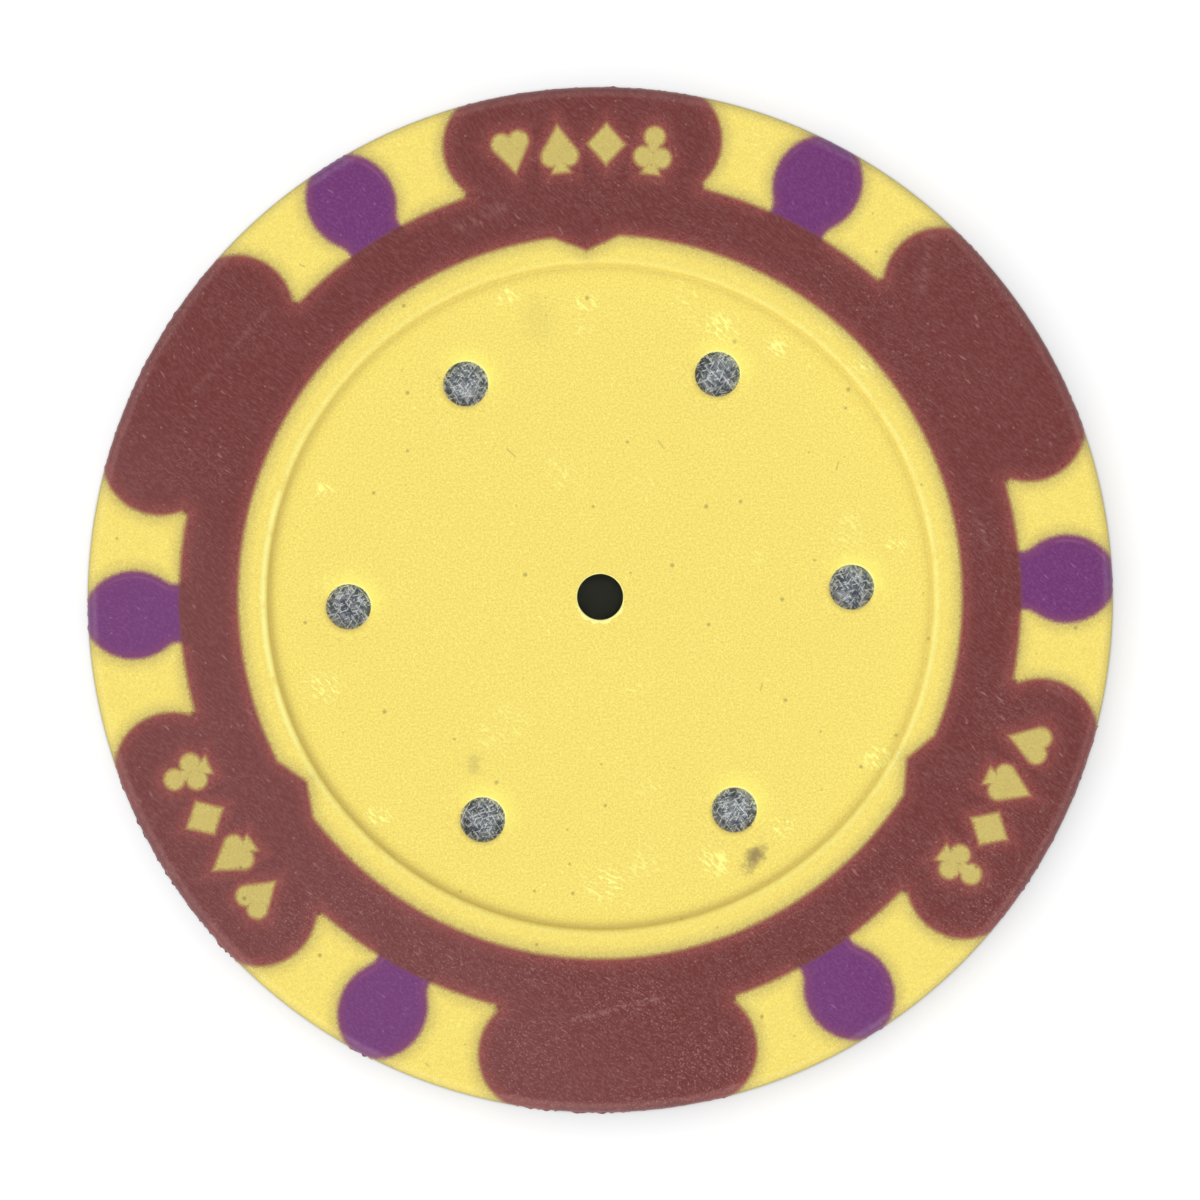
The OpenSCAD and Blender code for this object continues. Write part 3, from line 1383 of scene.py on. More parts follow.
    @cached_property
    def from_spots(self) -> Signal:
        """Distance to the nearest spot or its neck, negative inside it."""
        spots = self.body.spots
        across, along = self.folded(0.0, SIXTH / 2)
        lens = self.length(across + spots.side_x, along - spots.side_y) - spots.side_r
        neck = (across - spots.neck_w / 2).highest(along - (spots.fillet.y + spots.fillet_r))
        neck = neck.highest(spots.cover.ring_out - spots.tongue_len - along)
        return lens.math("SMOOTH_MIN", lens, neck, spots.fillet_r / 2)

    @cached_property
    def from_suits(self) -> Signal:
        """Distance to the nearest suit of a row, negative inside it."""
        cover = self.body.cover
        step = cover.suit_pitch / cover.suit_r
        mirrored = self.x * (self.front * 2.0 - 1.0)
        angle = self.angle.math("ARCTAN2", self.y, mirrored) - math.pi / 2
        count = angle.math("WRAP", angle, SIXTH, -SIXTH) / step + len(Suit) / 2
        order = count.math("FLOOR", count).highest(0.0).lowest(len(Suit) - 1.0)
        away = (count - order - 0.5) * step
        across = abs(self.r * away.math("SINE", away))
        along = self.r * away.math("COSINE", away) - cover.suit_r
        return self.suit_distance(order, across, along)

    def suit_distance(self, order: Signal, across: Signal, along: Signal) -> Signal:
        """Gives the distance to the suit at one place of a row.

        Args:
            order: Place in the row, counted from its last suit.
            across: Distance from the suit's own axis.
            along: Distance up that axis from the suit's middle.

        Returns:
            The distance, negative inside the suit.
        """
        figure = self.body.cover.figure
        last = len(Suit) - 1
        heart, spade, diamond, club = (
            order.math("COMPARE", order, float(last - suit.value), WHOLE) for suit in Suit
        )
        up = along * (1.0 - spade * 2.0)
        slope = (figure.flank - figure.tip).normalized()
        wedge = (across * slope.y - (up - figure.tip.y) * slope.x).highest(up - figure.flank.y)
        leaf = (self.length(across - figure.lobe.x, up - figure.lobe.y) - figure.lobe_r).lowest(wedge)
        leaf = leaf.lowest(self.length(across, up - figure.heart_fill[0]) - figure.heart_fill[1])
        side = Vector((2 / figure.width, 2 / figure.height))
        square = (across * side.x + abs(along) * side.y - 1.0) / side.length
        low_lobe = self.length(across - figure.lobe.x, along + figure.lobe.y)
        high_lobe = self.length(across, along - figure.lobe.y)
        clover = low_lobe.lowest(high_lobe) - figure.lobe_r
        clover = clover.lowest(self.length(across, along) - figure.club_fill)
        base = -figure.foot()[1].y
        foot_side = Vector((figure.foot_w / 2, base)).normalized()
        foot = (across * foot_side.y + along * foot_side.x).highest(-base - along)
        head = leaf * (heart + spade) + square * diamond + clover * club
        return head.lowest(foot + (heart + diamond) * self.r)

    @cached_property
    def from_brown(self) -> Signal:
        """Distance to what shows brown, negative inside it."""
        return self.from_cover.highest(-self.from_suits)

    def bleed(self, distance: Signal) -> Signal:
        """Gives a neighbour's share at a distance from the seam: one half on it, nothing away from it."""
        return (distance + self.grain.sway(self.seam_rag)).ease(self.seam, -self.seam)

    def toward_sheen_side(self, run: Ramp) -> Signal:
        """Goes from one value to another over distances past the middle towards the side with more painted
        sheen.
        """
        return (self.x * self.sheen_way[0] + self.y * self.sheen_way[1]).ease(*run)

    def from_sixths(self, ring_r: float) -> tuple[Signal, Signal, Signal]:
        """Measures from the nearest of six centres round the axis.

        Args:
            ring_r: Distance of the centres from the axis.

        Returns:
            The place against that centre along X and Y, and the distance from it.
        """
        axis = self.angle - self.angle.math("WRAP", self.angle, SIXTH / 2, -SIXTH / 2)
        x = self.x - axis.math("COSINE", axis) * ring_r
        y = self.y - axis.math("SINE", axis) * ring_r
        return x, y, self.length(x, y)

    def rim_wear_and_sheen(self) -> Signal:
        """Gives the abrasion and the painted sheen of the round edges of the rim."""
        step = self.rim_r - (self.body.form.radius - self.body.form.edge_round)
        band = step.ease(*self.wear_sheen_in) * step.ease(*self.wear_sheen_out) * self.below_face(self.wear_sheen_depth)
        return band * self.marks(self.wear_sheen_patches)

    def rim_shade_line(self) -> Signal:
        """Gives the thin line of painted shade where the round edges meet the wall of the rim."""
        edge = self.rim_r.ease(*(self.body.form.radius - inset for inset in self.shade_line_in))
        return edge * self.below_face(self.shade_line_depth)


def new_material(name: str) -> tuple[bpy.types.Material, Nodes]:
    """Makes an empty material.

    Args:
        name: Its name.

    Returns:
        The material and its tree.
    """
    material = bpy.data.materials.new(name)
    material.use_nodes = True
    return material, Nodes(material.node_tree)


def finish_with(nodes: Nodes, inputs: dict[str, Any]) -> None:
    """Adds the shader, fed by the inputs given, and the output."""
    shader = nodes.node("ShaderNodeBsdfPrincipled", {}, inputs)
    nodes.node("ShaderNodeOutputMaterial", {}, {0: shader.outputs[0]})


@dataclass(frozen=True)
class Finish(ABC):
    """A finish whose colour and fine relief follow the places on the chip."""

    name: str
    roughness: float
    metallic: float = 0.0
    # Strength of the relief, and its depth in millimetres
    relief: float = 0.3
    relief_depth: float = 0.01

    @abstractmethod
    def look(self, face: FaceMap) -> tuple[Signal, Signal]:
        """Gives the colour, and the height of the relief, over the places on the chip."""

    def material(self, body: YellowBody) -> bpy.types.Material:
        """Builds the finish.

        Args:
            body: The yellow body, which knows all the colours' sizes.

        Returns:
            The material.
        """
        material, nodes = new_material(self.name)
        colour, height = self.look(FaceMap(nodes, body))
        relief = {"Strength": self.relief, "Distance": self.relief_depth * MM, "Height": height}
        finish_with(nodes, {
            "Base Color": colour,
            "Metallic": self.metallic,
            "Roughness": self.roughness,
            "Normal": nodes.add("ShaderNodeBump", {}, relief),
        })
        return material


@dataclass(frozen=True)
class YellowPlastic(Finish):
    """Yellow shot: fine grain, light scuffs, dark specks, painted olive shade by the other colours, painted
    light and shade at the recess and the holes.
    """

    name: str = "yellow_plastic"
    roughness: float = 0.46
    dull: Colour = paint(236, 205, 101)
    fleck: Colour = paint(255, 241, 123)
    # Strength of the grain inwards from the land to the floor of the recess, and how it is cut
    grain_strength: Ramp = (13.2, 12.8, 0.9, 1.2)
    grain_cut: Span = (-0.3, 0.3)
    # Glints along the hairs, in patches
    glint: Colour = paint(255, 247, 128)
    glint_hairs: Pattern = Pattern(waves=11.0, zero=0.64, one=0.76, along=5.0)
    glint_patches: Pattern = Pattern(waves=0.4, zero=0.3, one=0.6)
    glint_share: float = 0.8
    # Places and reach of the scuffs on the upper face, how much narrower along Y, and where they are full
    scuff: Colour = paint(255, 251, 142)
    scuff_places: tuple[tuple[float, float, float], ...] = (
        (-3.2, 11.9, 0.8), (-0.2, 11.5, 0.9), (5.1, 10.3, 1.3), (7.2, 9.4, 0.9), (10.7, 8.7, 1.0),
        (-10.9, -3.1, 1.2), (-9.0, -8.2, 0.9), (-0.2, -11.2, 1.5), (4.1, -10.5, 1.3), (6.8, -9.3, 1.0),
        (10.7, -6.7, 1.2), (11.6, 1.6, 0.8), (-10.6, 4.6, 0.7),
    )
    scuff_narrow: float = 1.4
    scuff_core: float = 0.2
    loose_scuffs: Pattern = Pattern(waves=0.35, zero=0.6, one=0.72, share=0.5)
    # Streaks that the scuffs are made of, across and along, and how the scuffs bring them out
    streak: Span = (8.5, 3.0)
    streak_lift: float = 0.14
    streak_cut: Span = (0.62, 0.74)
    # Dark specks, and fibres from end to end
    speck: Colour = paint(176, 160, 84)
    specks: Specks = Specks(density=0.7, empty=0.72, size=0.08, share=0.75)
    fibres: tuple[Ends, ...] = (
        (-5.2, -17.6, -5.05, -18.1), (-7.5, -17.9, -7.4, -18.0), (-11.2, 13.4, -11.0, 13.3),
        (-3.4, 5.9, -3.1, 5.6), (2.5, 6.0, 2.7, 5.7), (6.2, -3.6, 6.1, -3.9), (9.5, 4.9, 9.4, 4.6),
    )
    fibre_w: float = 0.05
    fibre_share: float = 0.6
    # Dirty spots, and the noise of their ragged edges
    smudge: Colour = paint(136, 116, 82)
    smudges: tuple[Smudge, ...] = (
        Smudge(5.6, -10.4, 0.75, 0.0, 0.85, 1.1, narrow_x=1.2, narrow_y=0.9, skew=-0.6),
        Smudge(-5.15, -6.35, 0.6, 0.0, 0.25, 1.2),
        Smudge(-2.0, 10.9, 1.5, 0.2, 0.1, 2.0, narrow_x=1.5),
    )
    smudge_noise: tuple[float, float, float] = (2.6, 3.0, 0.6)
    # Painted shade in the corner of the recess: its reach out and in, the way to its darker side, and its
    # strength
    foot: Colour = paint(198, 172, 88)
    foot_shade_out: float = 0.1
    foot_shade_in: Fade = (0.5, 2.0)
    foot_shade_way: Span = (-0.6, -0.8)
    foot_side: Ramp = (-0.5, 0.7, 0.25, 0.7)
    # Painted highlight on the lip of the recess: its place in from the land, its width, patches and strength
    lip_highlight: Colour = paint(255, 251, 158)
    highlight_in: float = 0.06
    highlight_w: float = 0.16
    highlight_patches: Pattern = Pattern(waves=1.3, zero=0.25, one=0.5, detail=2.0)
    highlight_sides: float = 0.4
    highlight_left: Ramp = (-0.8, -0.97, 0.1, 0.55)
    # Painted highlight on the lip of the middle hole, in a colour that the pin lips share: its width, what it
    # gains on its lower side, and how ragged that is
    lit_lip: Colour = paint(255, 250, 155)
    hole_lip_w: float = 0.035
    hole_lip_gain: float = 0.1
    hole_lip_rag: float = 0.28
    hole_lip_waves: float = 3.2
    hole_lip_side: Span = (0.1, 0.75)
    hole_lip_soft: Span = (0.025, -0.02)
    # Painted light and shade at the mouths of the pin holes: the way to their lit side, and how far the
    # painted light and the painted shade go round
    mouth_way: Span = (0.5, 0.87)
    lit_side: Span = (-0.3, 0.9)
    shaded_side: Span = (0.2, -0.8)
    # Painted highlight round the lit side of each pin hole, painted shade round its other side, and a painted
    # highlight on its lip
    pin_highlight: Colour = paint(255, 246, 118)
    pin_highlight_fade: Fade = (0.9, 1.5, 0.8)
    shaded: Colour = paint(178, 156, 84)
    shaded_fade: Fade = (0.22, 1.3, 0.6)
    pin_lip_w: float = 0.06
    pin_lip_soft: float = 0.03
    # Painted shade where the yellow meets the other colours, for light lost into the darker plastic, which
    # also makes the suit figures tan: what is left of each channel right at another colour, how far that
    # reaches and how ragged it is
    near_shade: Colour = (0.66, 0.65, 0.86, 1.0)
    near_shade_fade: Fade = (0.62, 1.4)
    near_shade_rag: float = 0.3
    # Painted shade along the wall of the rim
    rim_shade: Colour = paint(128, 116, 72)
    rim_shade_share: float = 0.35
    brown: Colour = paint(126, 68, 60)
    purple: Colour = paint(128, 74, 110)

    def look(self, face: FaceMap) -> tuple[Signal, Signal]:
        """Lays the grain, the marks, the painted light and shade at the recess and at the mouths of the
        holes, and the seams over each other.

        Args:
            face: Places on the chip.

        Returns:
            The colour, and the height of the relief.
        """
        nodes = face.nodes
        strength = face.r.ease(*self.grain_strength)
        grain = face.grain.sway(strength).ease(*self.grain_cut)
        glints = face.marks(self.glint_hairs) * (face.marks(self.glint_patches) * strength)
        # lit and dull are the shares of the painted light and the painted shade round the pin holes
        lit, dull, step = self.pin_mouths(face)
        colour = nodes.layered(self.dull, [
            (grain, self.fleck),
            (glints * self.glint_share, self.glint),
            (self.scuffed(face), self.scuff),
            (face.dots(self.specks), self.speck),
            *((face.stroke(ends, self.fibre_w) * self.fibre_share, self.speck) for ends in self.fibres),
            (self.smudged(face), self.smudge),
            # Painted shade in the corner of the recess
            (self.recess_foot_shade(face), self.foot),
            # Painted highlight on the lip of the recess
            (self.recess_lip_highlight(face), self.lip_highlight),
            # Painted highlight on the lip of the middle hole
            (self.hole_lip_highlight(face), self.lit_lip),
            # Painted light, painted shade and a painted highlight on the lip round each pin hole
            (step.fade(*self.pin_highlight_fade) * lit, self.pin_highlight),
            (step.fade(*self.shaded_fade) * dull, self.shaded),
            ((step - lit * self.pin_lip_w).ease(self.pin_lip_soft, -self.pin_lip_soft) * lit, self.lit_lip),
        ])
        edge = face.from_cover.lowest(face.from_spots) + face.grain.sway(self.near_shade_rag)
        colour = nodes.layered(colour, [
            # Painted shade of the yellow along the other colours
            (edge.fade(*self.near_shade_fade), nodes.mix(1.0, colour, self.near_shade, "MULTIPLY")),
            # Painted shade along the wall of the rim
            (face.rim_shade_line() * self.rim_shade_share, self.rim_shade),
            (face.bleed(face.from_brown), self.brown),
            (face.bleed(face.from_spots), self.purple),
        ])
        return colour, face.grain + glints

    def scuffed(self, face: FaceMap) -> Signal:
        """Marks light scuffs on the upper face, and a few loose ones on both.

        Args:
            face: Places on the chip.

        Returns:
            Their strength.
        """
        toward_sheen_side = face.marks(self.loose_scuffs)
        for x, y, reach in self.scuff_places:
            distance = face.length(face.x - x, (face.y - y) * self.scuff_narrow)
            toward_sheen_side = (distance.ease(reach, self.scuff_core * reach) * face.front).highest(toward_sheen_side)
        return (face.hair(*self.streak) + toward_sheen_side * self.streak_lift).ease(*self.streak_cut) * toward_sheen_side

    def smudged(self, face: FaceMap) -> Signal:
        """Marks the dirty spots on the upper face.

        Args:
            face: Places on the chip.

        Returns:
            Their strength.
        """
        noise_there = face.noise(*self.smudge_noise)
        marks: Number = 0.0
        for spot in self.smudges:
            x, y = face.x - spot.x, face.y - spot.y
            distance = face.length(x * spot.narrow_x + y * spot.skew, y * spot.narrow_y)
            ragged = distance + noise_there.sway(spot.rag)
            marks = ragged.ease(spot.reach, spot.core, 0.0, spot.strength).highest(marks)
        return face.front * marks

    def recess_foot_shade(self, face: FaceMap) -> Signal:
        """Marks the line of painted shade in the corner of the recess, darker on one side.

        Args:
            face: Places on the chip.

        Returns:
            Its strength.
        """
        step = face.r - face.body.form.recess_r
        side = face.facing(face.x, face.y, face.r, self.foot_shade_way).ease(*self.foot_side)
        return step.fade(self.foot_shade_out) * (-step).fade(*self.foot_shade_in) * side

    def recess_lip_highlight(self, face: FaceMap) -> Signal:
        """Marks a painted highlight on the lip of the recess, most on two sides.

        Args:
            face: Places on the chip.

        Returns:
            Its strength.
        """
        step = face.r - (face.body.form.recess_section[-2].x - self.highlight_in)
        turn = face.x / face.r
        sides = turn * turn * self.highlight_sides + turn.ease(*self.highlight_left)
        return abs(step).fade(self.highlight_w) * sides * face.marks(self.highlight_patches)

    def hole_lip_highlight(self, face: FaceMap) -> Signal:
        """Marks a painted highlight on the thin lip round the middle hole, wider on its lower side.

        Args:
            face: Places on the chip.

        Returns:
            Its strength.
        """
        rag = face.noise(self.hole_lip_waves).sway(self.hole_lip_rag)
        below = (-face.y / face.r).ease(*self.hole_lip_side)
        width = below * (rag + self.hole_lip_gain) + self.hole_lip_w
        return (face.r - face.body.slug.hole_r - width).ease(*self.hole_lip_soft)

    def pin_mouths(self, face: FaceMap) -> tuple[Signal, Signal, Signal]:
        """Measures from the nearest pin hole.

        Args:
            face: Places on the chip.

        Returns:
            Strength of the painted light on its lit side and of the painted shade on its other side, and the
            distance from its wall.
        """
        x, y, distance = face.from_sixths(face.body.pin_circle_r)
        turn = face.facing(x, y, distance, self.mouth_way)
        return turn.ease(*self.lit_side), turn.ease(*self.shaded_side), distance - face.body.pin_r


@dataclass(frozen=True)
class BrownPlastic(Finish):
    """Brown shot: dense fine hairs like leather, light nicks, a rubbed rim with painted sheen, painted redder
    light towards yellow.
    """

    name: str = "brown_plastic"
    roughness: float = 0.5
    relief: float = 0.4
    base: Colour = paint(109, 44, 42)
    # Painted sheen, a grey haze that grows towards one side
    painted_sheen: Colour = paint(129, 80, 80)
    painted_sheen_run: Ramp = (8.0, 13.0, 0.0, 0.25)
    # Hairs of two kinds, across and along, and the share of each
    light: Colour = paint(142, 92, 90)
    hairs: tuple[tuple[float, float, float], ...] = ((19.0, 6.0, 0.6), (17.0, 2.6, 0.4))
    hair_cut: Span = (0.4, 0.7)
    # Light granules, denser in patches and towards one side
    grit: Colour = paint(164, 118, 114)
    granules: Pattern = Pattern(waves=12.0, zero=0.55, one=0.73, share=0.85)
    grit_patches: Pattern = Pattern(waves=0.3, zero=0.4, one=0.65, share=0.35)
    grit_run: Ramp = (-6.0, -16.0, 0.0, 0.45)
    # Sparse nicks along the hairs, in patches, and dots
    nick: Colour = paint(168, 122, 118)
    nick_hairs: Pattern = Pattern(waves=6.5, zero=0.66, one=0.8, along=1.9, share=0.6)
    nick_patches: Pattern = Pattern(waves=0.5, zero=0.35, one=0.6)
    specks: Specks = Specks(density=2.2, empty=0.78, size=0.045, share=0.5)
    # Ends, half width and strength of the scratches, and the ticks that they are made of
    scratches: tuple[tuple[Ends, float, float], ...] = (
        ((-1.67, -16.45, 1.7, -15.71), 0.18, 0.45), ((-12.6, 11.56, -15.6, 8.55), 0.16, 0.2),
        ((13.5, 13.83, 12.98, 11.6), 0.4, 0.25), ((15.05, 10.4, 15.12, 9.95), 0.09, 0.8),
        ((-6.04, -13.37, -5.95, -13.99), 0.09, 0.35), ((17.3, -4.15, 18.2, -4.54), 0.3, 0.3),
        ((-4.9, 14.6, -3.2, 15.3), 0.35, 0.3), ((15.2, 1.4, 14.6, 2.9), 0.3, 0.25),
    )
    ticks: Pattern = Pattern(waves=9.0, zero=0.38, one=0.62, along=3.0)
    # Wear of the rim, with painted sheen
    wear_and_sheen: Colour = paint(162, 98, 94)
    wear_and_sheen_share: float = 0.3
    # Grainy fringe towards yellow, a painted redder light for light carried in from the yellow, and the
    # distances from a spot between which it begins
    fringe: Colour = paint(172, 88, 80)
    fringe_fade: Fade = (0.65, 1.4)
    fringe_rag: float = 0.4
    fringe_grain: Ramp = (0.43, 0.6, 0.12, 0.92)
    fringe_from: Span = (-0.1, 0.3)
    # Colours across a seam, and the distances from a spot between which the second takes over
    yellow: Colour = paint(206, 176, 96)
    purple: Colour = paint(122, 66, 100)
    purple_from: Span = (0.1, -0.1)

    def look(self, face: FaceMap) -> tuple[Signal, Signal]:
        """Lays the hairs, the marks, the abrasion with painted sheen, the painted light and the seams over
        each other.

        Args:
            face: Places on the chip.

        Returns:
            The colour, and the height of the relief.
        """
        hair = sum(face.hair(across, along) * share for across, along, share in self.hairs)
        grit = self.gritty(face)
        nicks = self.nicked(face)
        inside = -face.from_brown
        # Painted redder light along the yellow
        fringe = (inside + hair.sway(self.fringe_rag)).fade(*self.fringe_fade)
        fringe = fringe * face.grain.ease(*self.fringe_grain)
        neighbour = face.nodes.mix(face.from_spots.ease(*self.purple_from), self.yellow, self.purple)
        colour = face.nodes.layered(self.base, [
            # Painted sheen towards one side
            (face.toward_sheen_side(self.painted_sheen_run), self.painted_sheen),
            (hair.ease(*self.hair_cut) * face.rubbed, self.light),
            (grit, self.grit),
            (nicks, self.nick),
            # Wear of the rim, with painted sheen
            (face.rim_wear_and_sheen() * self.wear_and_sheen_share, self.wear_and_sheen),
            (fringe * face.from_spots.ease(*self.fringe_from), self.fringe),
            (face.bleed(inside), neighbour),
        ])
        return colour, hair + grit + nicks

    def gritty(self, face: FaceMap) -> Signal:
        """Marks light granules, dense towards one side."""
        return face.marks(self.granules) * (face.marks(self.grit_patches) + face.y.ease(*self.grit_run))

    def nicked(self, face: FaceMap) -> Signal:
        """Marks sparse light nicks along the hairs, dots and a few scratches.

        Args:
            face: Places on the chip.

        Returns:
            Their strength.
        """
        marks = face.marks(self.nick_hairs) * face.marks(self.nick_patches)
        marks = marks.highest(face.dots(self.specks))
        ticks = face.marks(self.ticks)
        for ends, width, strength in self.scratches:
            marks = marks.highest(face.stroke(ends, width) * ticks * strength)
        return marks


@dataclass(frozen=True)
class PurplePlastic(Finish):
    """Purple inserts: fine even grain and a lighter fringe along their edges."""

    name: str = "purple_plastic"
    roughness: float = 0.46
    base: Colour = paint(109, 45, 109)
    # Painted sheen, a grey haze that grows towards one side
    painted_sheen: Colour = paint(128, 80, 130)
    painted_sheen_run: Ramp = (-6.0, 10.0, 0.0, 0.25)
    # Hairs, across and along
    light: Colour = paint(138, 84, 138)
    hairs: Span = (17.0, 7.0)
    hair_cut: Ramp = (0.36, 0.8, 0.0, 1.1)
    nick: Colour = paint(160, 116, 160)
    nick_hairs: Pattern = Pattern(waves=6.5, zero=0.68, one=0.82, along=1.9)
    specks: Specks = Specks(density=2.2, empty=0.8, size=0.045, share=0.4)
    # Wear of the rim, with painted sheen
    wear_and_sheen: Colour = paint(154, 100, 154)
    wear_and_sheen_share: float = 0.3
    # Painted highlight in a line inside the edge, on its lit side: its place in from the edge, its width, the
    # way to its lit side, and its patches
    ridge_in: float = 0.24
    ridge_w: float = 0.07
    ridge_way: Span = (0.4, 0.9)
    ridge_side: Span = (0.1, 0.9)
    ridge_patches: Pattern = Pattern(waves=1.6, zero=0.35, one=0.6, detail=2.0, share=0.45)
    fringe: Colour = paint(136, 72, 104)
    fringe_fade: Fade = (0.45, 1.6)
    fringe_rag: float = 0.3
    yellow: Colour = paint(206, 176, 104)
    brown: Colour = paint(123, 66, 70)

    def look(self, face: FaceMap) -> tuple[Signal, Signal]:
        """Lays the grain, the marks, the abrasion with painted sheen, a painted highlight and the seams over
        each other.

        Args:
            face: Places on the chip.

        Returns:
            The colour, and the height of the relief.
        """
        body = face.body
        hair = face.hair(*self.hairs)
        nicks = face.marks(self.nick_hairs) * face.rubbed
        nicks = nicks.highest(face.dots(self.specks))
        inside = -face.from_spots
        lit = face.facing(*face.from_sixths(body.spots.side_y), self.ridge_way).ease(*self.ridge_side)
        ridge_highlight = abs(inside - self.ridge_in).fade(self.ridge_w) * lit * face.marks(self.ridge_patches)
        fringe = (inside + face.grain.sway(self.fringe_rag)).fade(*self.fringe_fade)
        colour = face.nodes.layered(self.base, [
            # Painted sheen towards one side
            (face.toward_sheen_side(self.painted_sheen_run), self.painted_sheen),
            (hair.ease(*self.hair_cut) * face.rubbed, self.light),
            (nicks, self.nick),
            # Wear of the rim, with painted sheen
            (face.rim_wear_and_sheen() * self.wear_and_sheen_share, self.wear_and_sheen),
            # Painted highlight inside the edge, on its lit side
            (ridge_highlight, self.wear_and_sheen),
            (fringe, self.fringe),
            (face.bleed(inside), self.yellow),
            (face.bleed(face.r - body.cover.ring_out), self.brown),
        ])
        return colour, hair + nicks


@dataclass(frozen=True)
class ScratchedSteel(Finish):
    """Bare steel of the slug: streaks and short scratches every way over dull patches."""

    name: str = "scratched_steel"
    roughness: float = 0.45
    metallic: float = 1.0
    relief: float = 0.5
    relief_depth: float = 0.015
    dark: Colour = paint(128, 136, 148)
    light: Colour = paint(220, 226, 231)
    # Turn of each set of streaks and its strength, and the waves in a millimetre along and across them
    streak_sets: tuple[Span, ...] = ((0.95, 0.5), (2.1, 0.28), (-0.25, 0.22))
    streak_waves: tuple[float, float, float] = (1.6, 9.0, 1.0)
    streak_noise: tuple[float, float, float] = (1.0, 2.0, 0.6)
    streak_cut: Span = (0.4, 0.62)
    dull: Colour = paint(100, 106, 118)
    dull_patches: Pattern = Pattern(waves=1.7, zero=0.52, one=0.36, detail=2.0, rough=0.6, share=0.7)
    # Bright grit, and dashes along the streaks
    bright: Colour = paint(250, 252, 254)
    grit: Pattern = Pattern(waves=11.0, zero=0.56, one=0.74, share=0.5)
    dash_waves: float = 1.5
    dash_cut: Span = (0.61, 0.69)
    dash_share: float = 0.7

    def look(self, face: FaceMap) -> tuple[Signal, Signal]:
        """Lays the streaks, the dull patches and the scratches over each other.

        Args:
            face: Places on the chip.

        Returns:
            The colour, and the height of the relief.
        """
        nodes = face.nodes
        streaks: Number = 0.0
        dashes: Number = 0.0
        for turn, share in self.streak_sets:
            run = nodes.vector("MULTIPLY", nodes.rotated(face.place, turn), self.streak_waves)
            streaks = nodes.noise(run, *self.streak_noise) * share + streaks
            dashes = nodes.noise(run, self.dash_waves).ease(*self.dash_cut).highest(dashes)
        colour = nodes.layered(self.dark, [
            (streaks.ease(*self.streak_cut), self.light),
            (face.marks(self.dull_patches), self.dull),
            (face.marks(self.grit), self.bright),
            (dashes * self.dash_share, self.bright),
        ])
        return colour, dashes + streaks


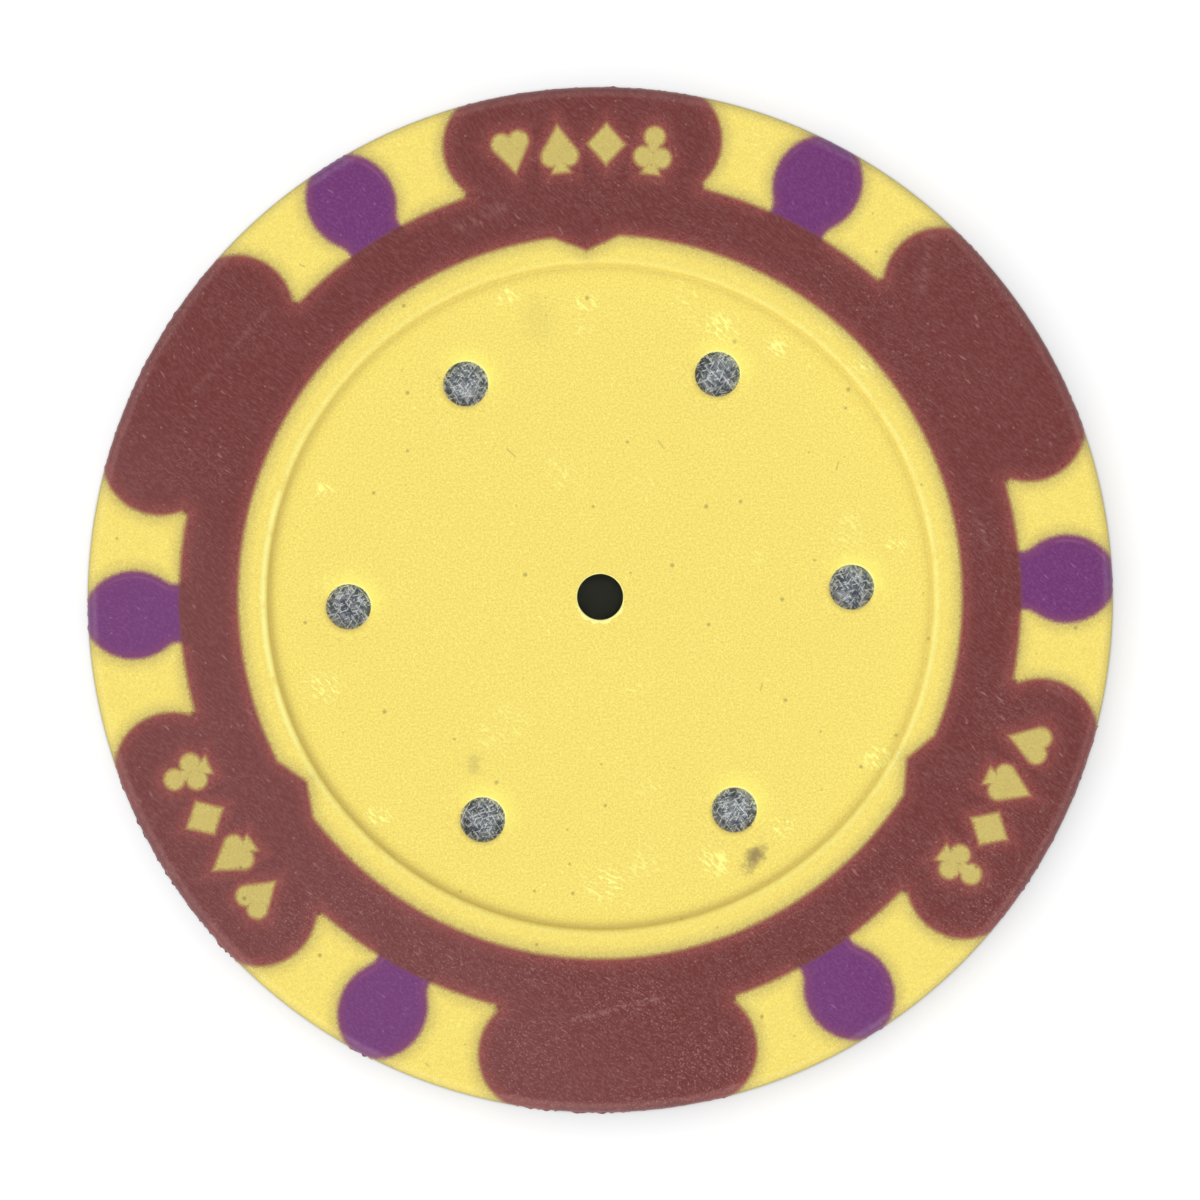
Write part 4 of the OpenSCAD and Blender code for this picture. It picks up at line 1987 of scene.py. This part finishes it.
@dataclass(frozen=True)
class Studio:
    """Pale glowing floor with a painted shadow round the chip, a soft belt of light all round, and a camera
    straight above the chip.
    """

    form: ChipForm
    floor_size: float = 1.2
    floor_colour: Colour = (0.3, 0.3, 0.3, 1.0)
    floor_glow: float = 0.88
    # A painted shadow dims the glow close to the chip, most on one side, and the glow is hidden under the
    # chip
    shadow_depth: float = 0.245
    shadow_side: float = 0.105
    dim_angle: float = math.radians(-45)
    shadow_reach: float = 1.05
    hidden: Span = (-4.0, -1.0)
    # A thin painted contact shadow where the chip stands on the floor
    contact_shadow: float = 0.2
    contact_shadow_reach: float = 0.03
    contact_shadow_out: float = 0.17
    light: float = 1.67
    # The belt is stronger on one side, and is cut off softly at its upper and lower edge
    side_angle: float = math.radians(230)
    side_gain: float = 0.25
    upper_edge: Span = (30, 38)
    lower_edge: Span = (84, 68)
    lens: float = 300.0
    sensor: float = 36.0
    # The camera sees from its distance divided by this to its distance times this
    clip: float = 100.0
    # Width of the picture at the chip's face, its turn and the place of the chip in it
    picture_width: float = 46.77
    picture_turn: float = math.radians(2.23)
    picture_shift: Span = (-0.01, -0.12)

    def build(self) -> None:
        """Makes the floor, the light and the camera."""
        self.make_floor()
        self.make_light()
        self.make_camera()

    def make_floor(self) -> None:
        """Lays a pale glowing floor with a painted shadow round the chip, which sends no diffuse light back
        to the chip.
        """
        material, nodes = new_material("pale_floor")
        metres = nodes.add("ShaderNodeTexCoord", {}, {}, "Object")
        x, y, _ = nodes.split(metres)
        r = FaceMap.length(x, y - self.form.rim_shift * MM)
        # Painted shadow in the glow round the chip, and a painted contact shadow at its foot
        toward = FaceMap.facing(x, y, r, (math.cos(self.dim_angle), math.sin(self.dim_angle)))
        step = r / MM - self.form.radius
        away = step / -self.shadow_reach
        painted_shadow = away.math("EXPONENT", away) * (toward * self.shadow_side + self.shadow_depth)
        close = (step - self.contact_shadow_out) / -self.contact_shadow_reach
        painted_shadow = painted_shadow + close.math("EXPONENT", close) * self.contact_shadow
        glow = (self.floor_glow - painted_shadow).highest(0.0) * step.ease(*self.hidden)
        finish_with(nodes, {
            "Base Color": self.floor_colour,
            "Roughness": 1.0,
            "Specular IOR Level": 0.0,
            "Emission Color": glow,
            "Emission Strength": 1.0,
        })
        bm = bmesh.new()
        bmesh.ops.create_grid(bm, x_segments=1, y_segments=1, size=self.floor_size / 2)
        mesh = bpy.data.meshes.new("floor")
        bm.to_mesh(mesh)
        bm.free()
        mesh.materials.append(material)
        floor = bpy.data.objects.new("floor", mesh)
        floor.visible_diffuse = False
        bpy.context.scene.collection.objects.link(floor)

    def make_light(self) -> None:
        """Lights the chip from a soft belt round the camera."""
        world = bpy.data.worlds.new("soft_belt")
        world.use_nodes = True
        bpy.context.scene.world = world
        nodes = Nodes(world.node_tree)
        x, y, z = nodes.split(nodes.add("ShaderNodeTexCoord", {}, {}, "Generated"))
        side = x * math.cos(self.side_angle) + y * math.sin(self.side_angle)
        upper, lower = (
            z.ease(*(math.cos(math.radians(angle)) for angle in edge))
            for edge in (self.upper_edge, self.lower_edge)
        )
        strength = (side * self.side_gain + 1.0) * upper * lower * self.light
        background = nodes.node("ShaderNodeBackground", {}, {0: (1.0, 1.0, 1.0, 1.0), 1: strength})
        nodes.node("ShaderNodeOutputWorld", {}, {0: background.outputs[0]})
        bpy.context.scene.view_settings.view_transform = "Standard"

    def make_camera(self) -> None:
        """Hangs the camera over the middle of the chip."""
        data = bpy.data.cameras.new("camera")
        data.lens = self.lens
        data.sensor_width = self.sensor
        distance = self.lens / self.sensor * self.picture_width
        data.clip_start = distance * MM / self.clip
        data.clip_end = distance * MM * self.clip
        camera = bpy.data.objects.new("camera", data)
        camera.location = Vector((*self.picture_shift, self.form.thickness + distance)) * MM
        camera.rotation_euler = (0.0, 0.0, -self.picture_turn)
        bpy.context.scene.collection.objects.link(camera)
        bpy.context.scene.camera = camera


def main() -> None:
    """Builds the chip piece by piece, then the studio."""
    logging.basicConfig(level=logging.INFO, format="%(message)s")
    form = ChipForm.from_frame()
    cover = BrownCover(form)
    spots = PurpleSpots(form, cover)
    slug = SteelSlug.from_frame()
    body = YellowBody(form, cover, spots, slug)

    plan = FacePlan()
    for part in (form, cover, spots, body):
        part.draw(plan)
    plan.cut("rim")

    place(slug.build(ScratchedSteel().material(body)), "steel_slug")
    place(body.build(plan, YellowPlastic().material(body)), "yellow_body")
    place(cover.build(plan, BrownPlastic().material(body)), "brown_cover")
    purple = PurplePlastic().material(body)
    for i in range(spots.count):
        place(spots.build(plan, i, purple), f"purple_spot_{i + 1}")

    Studio(form).build()


if __name__ == "__main__":
    main()
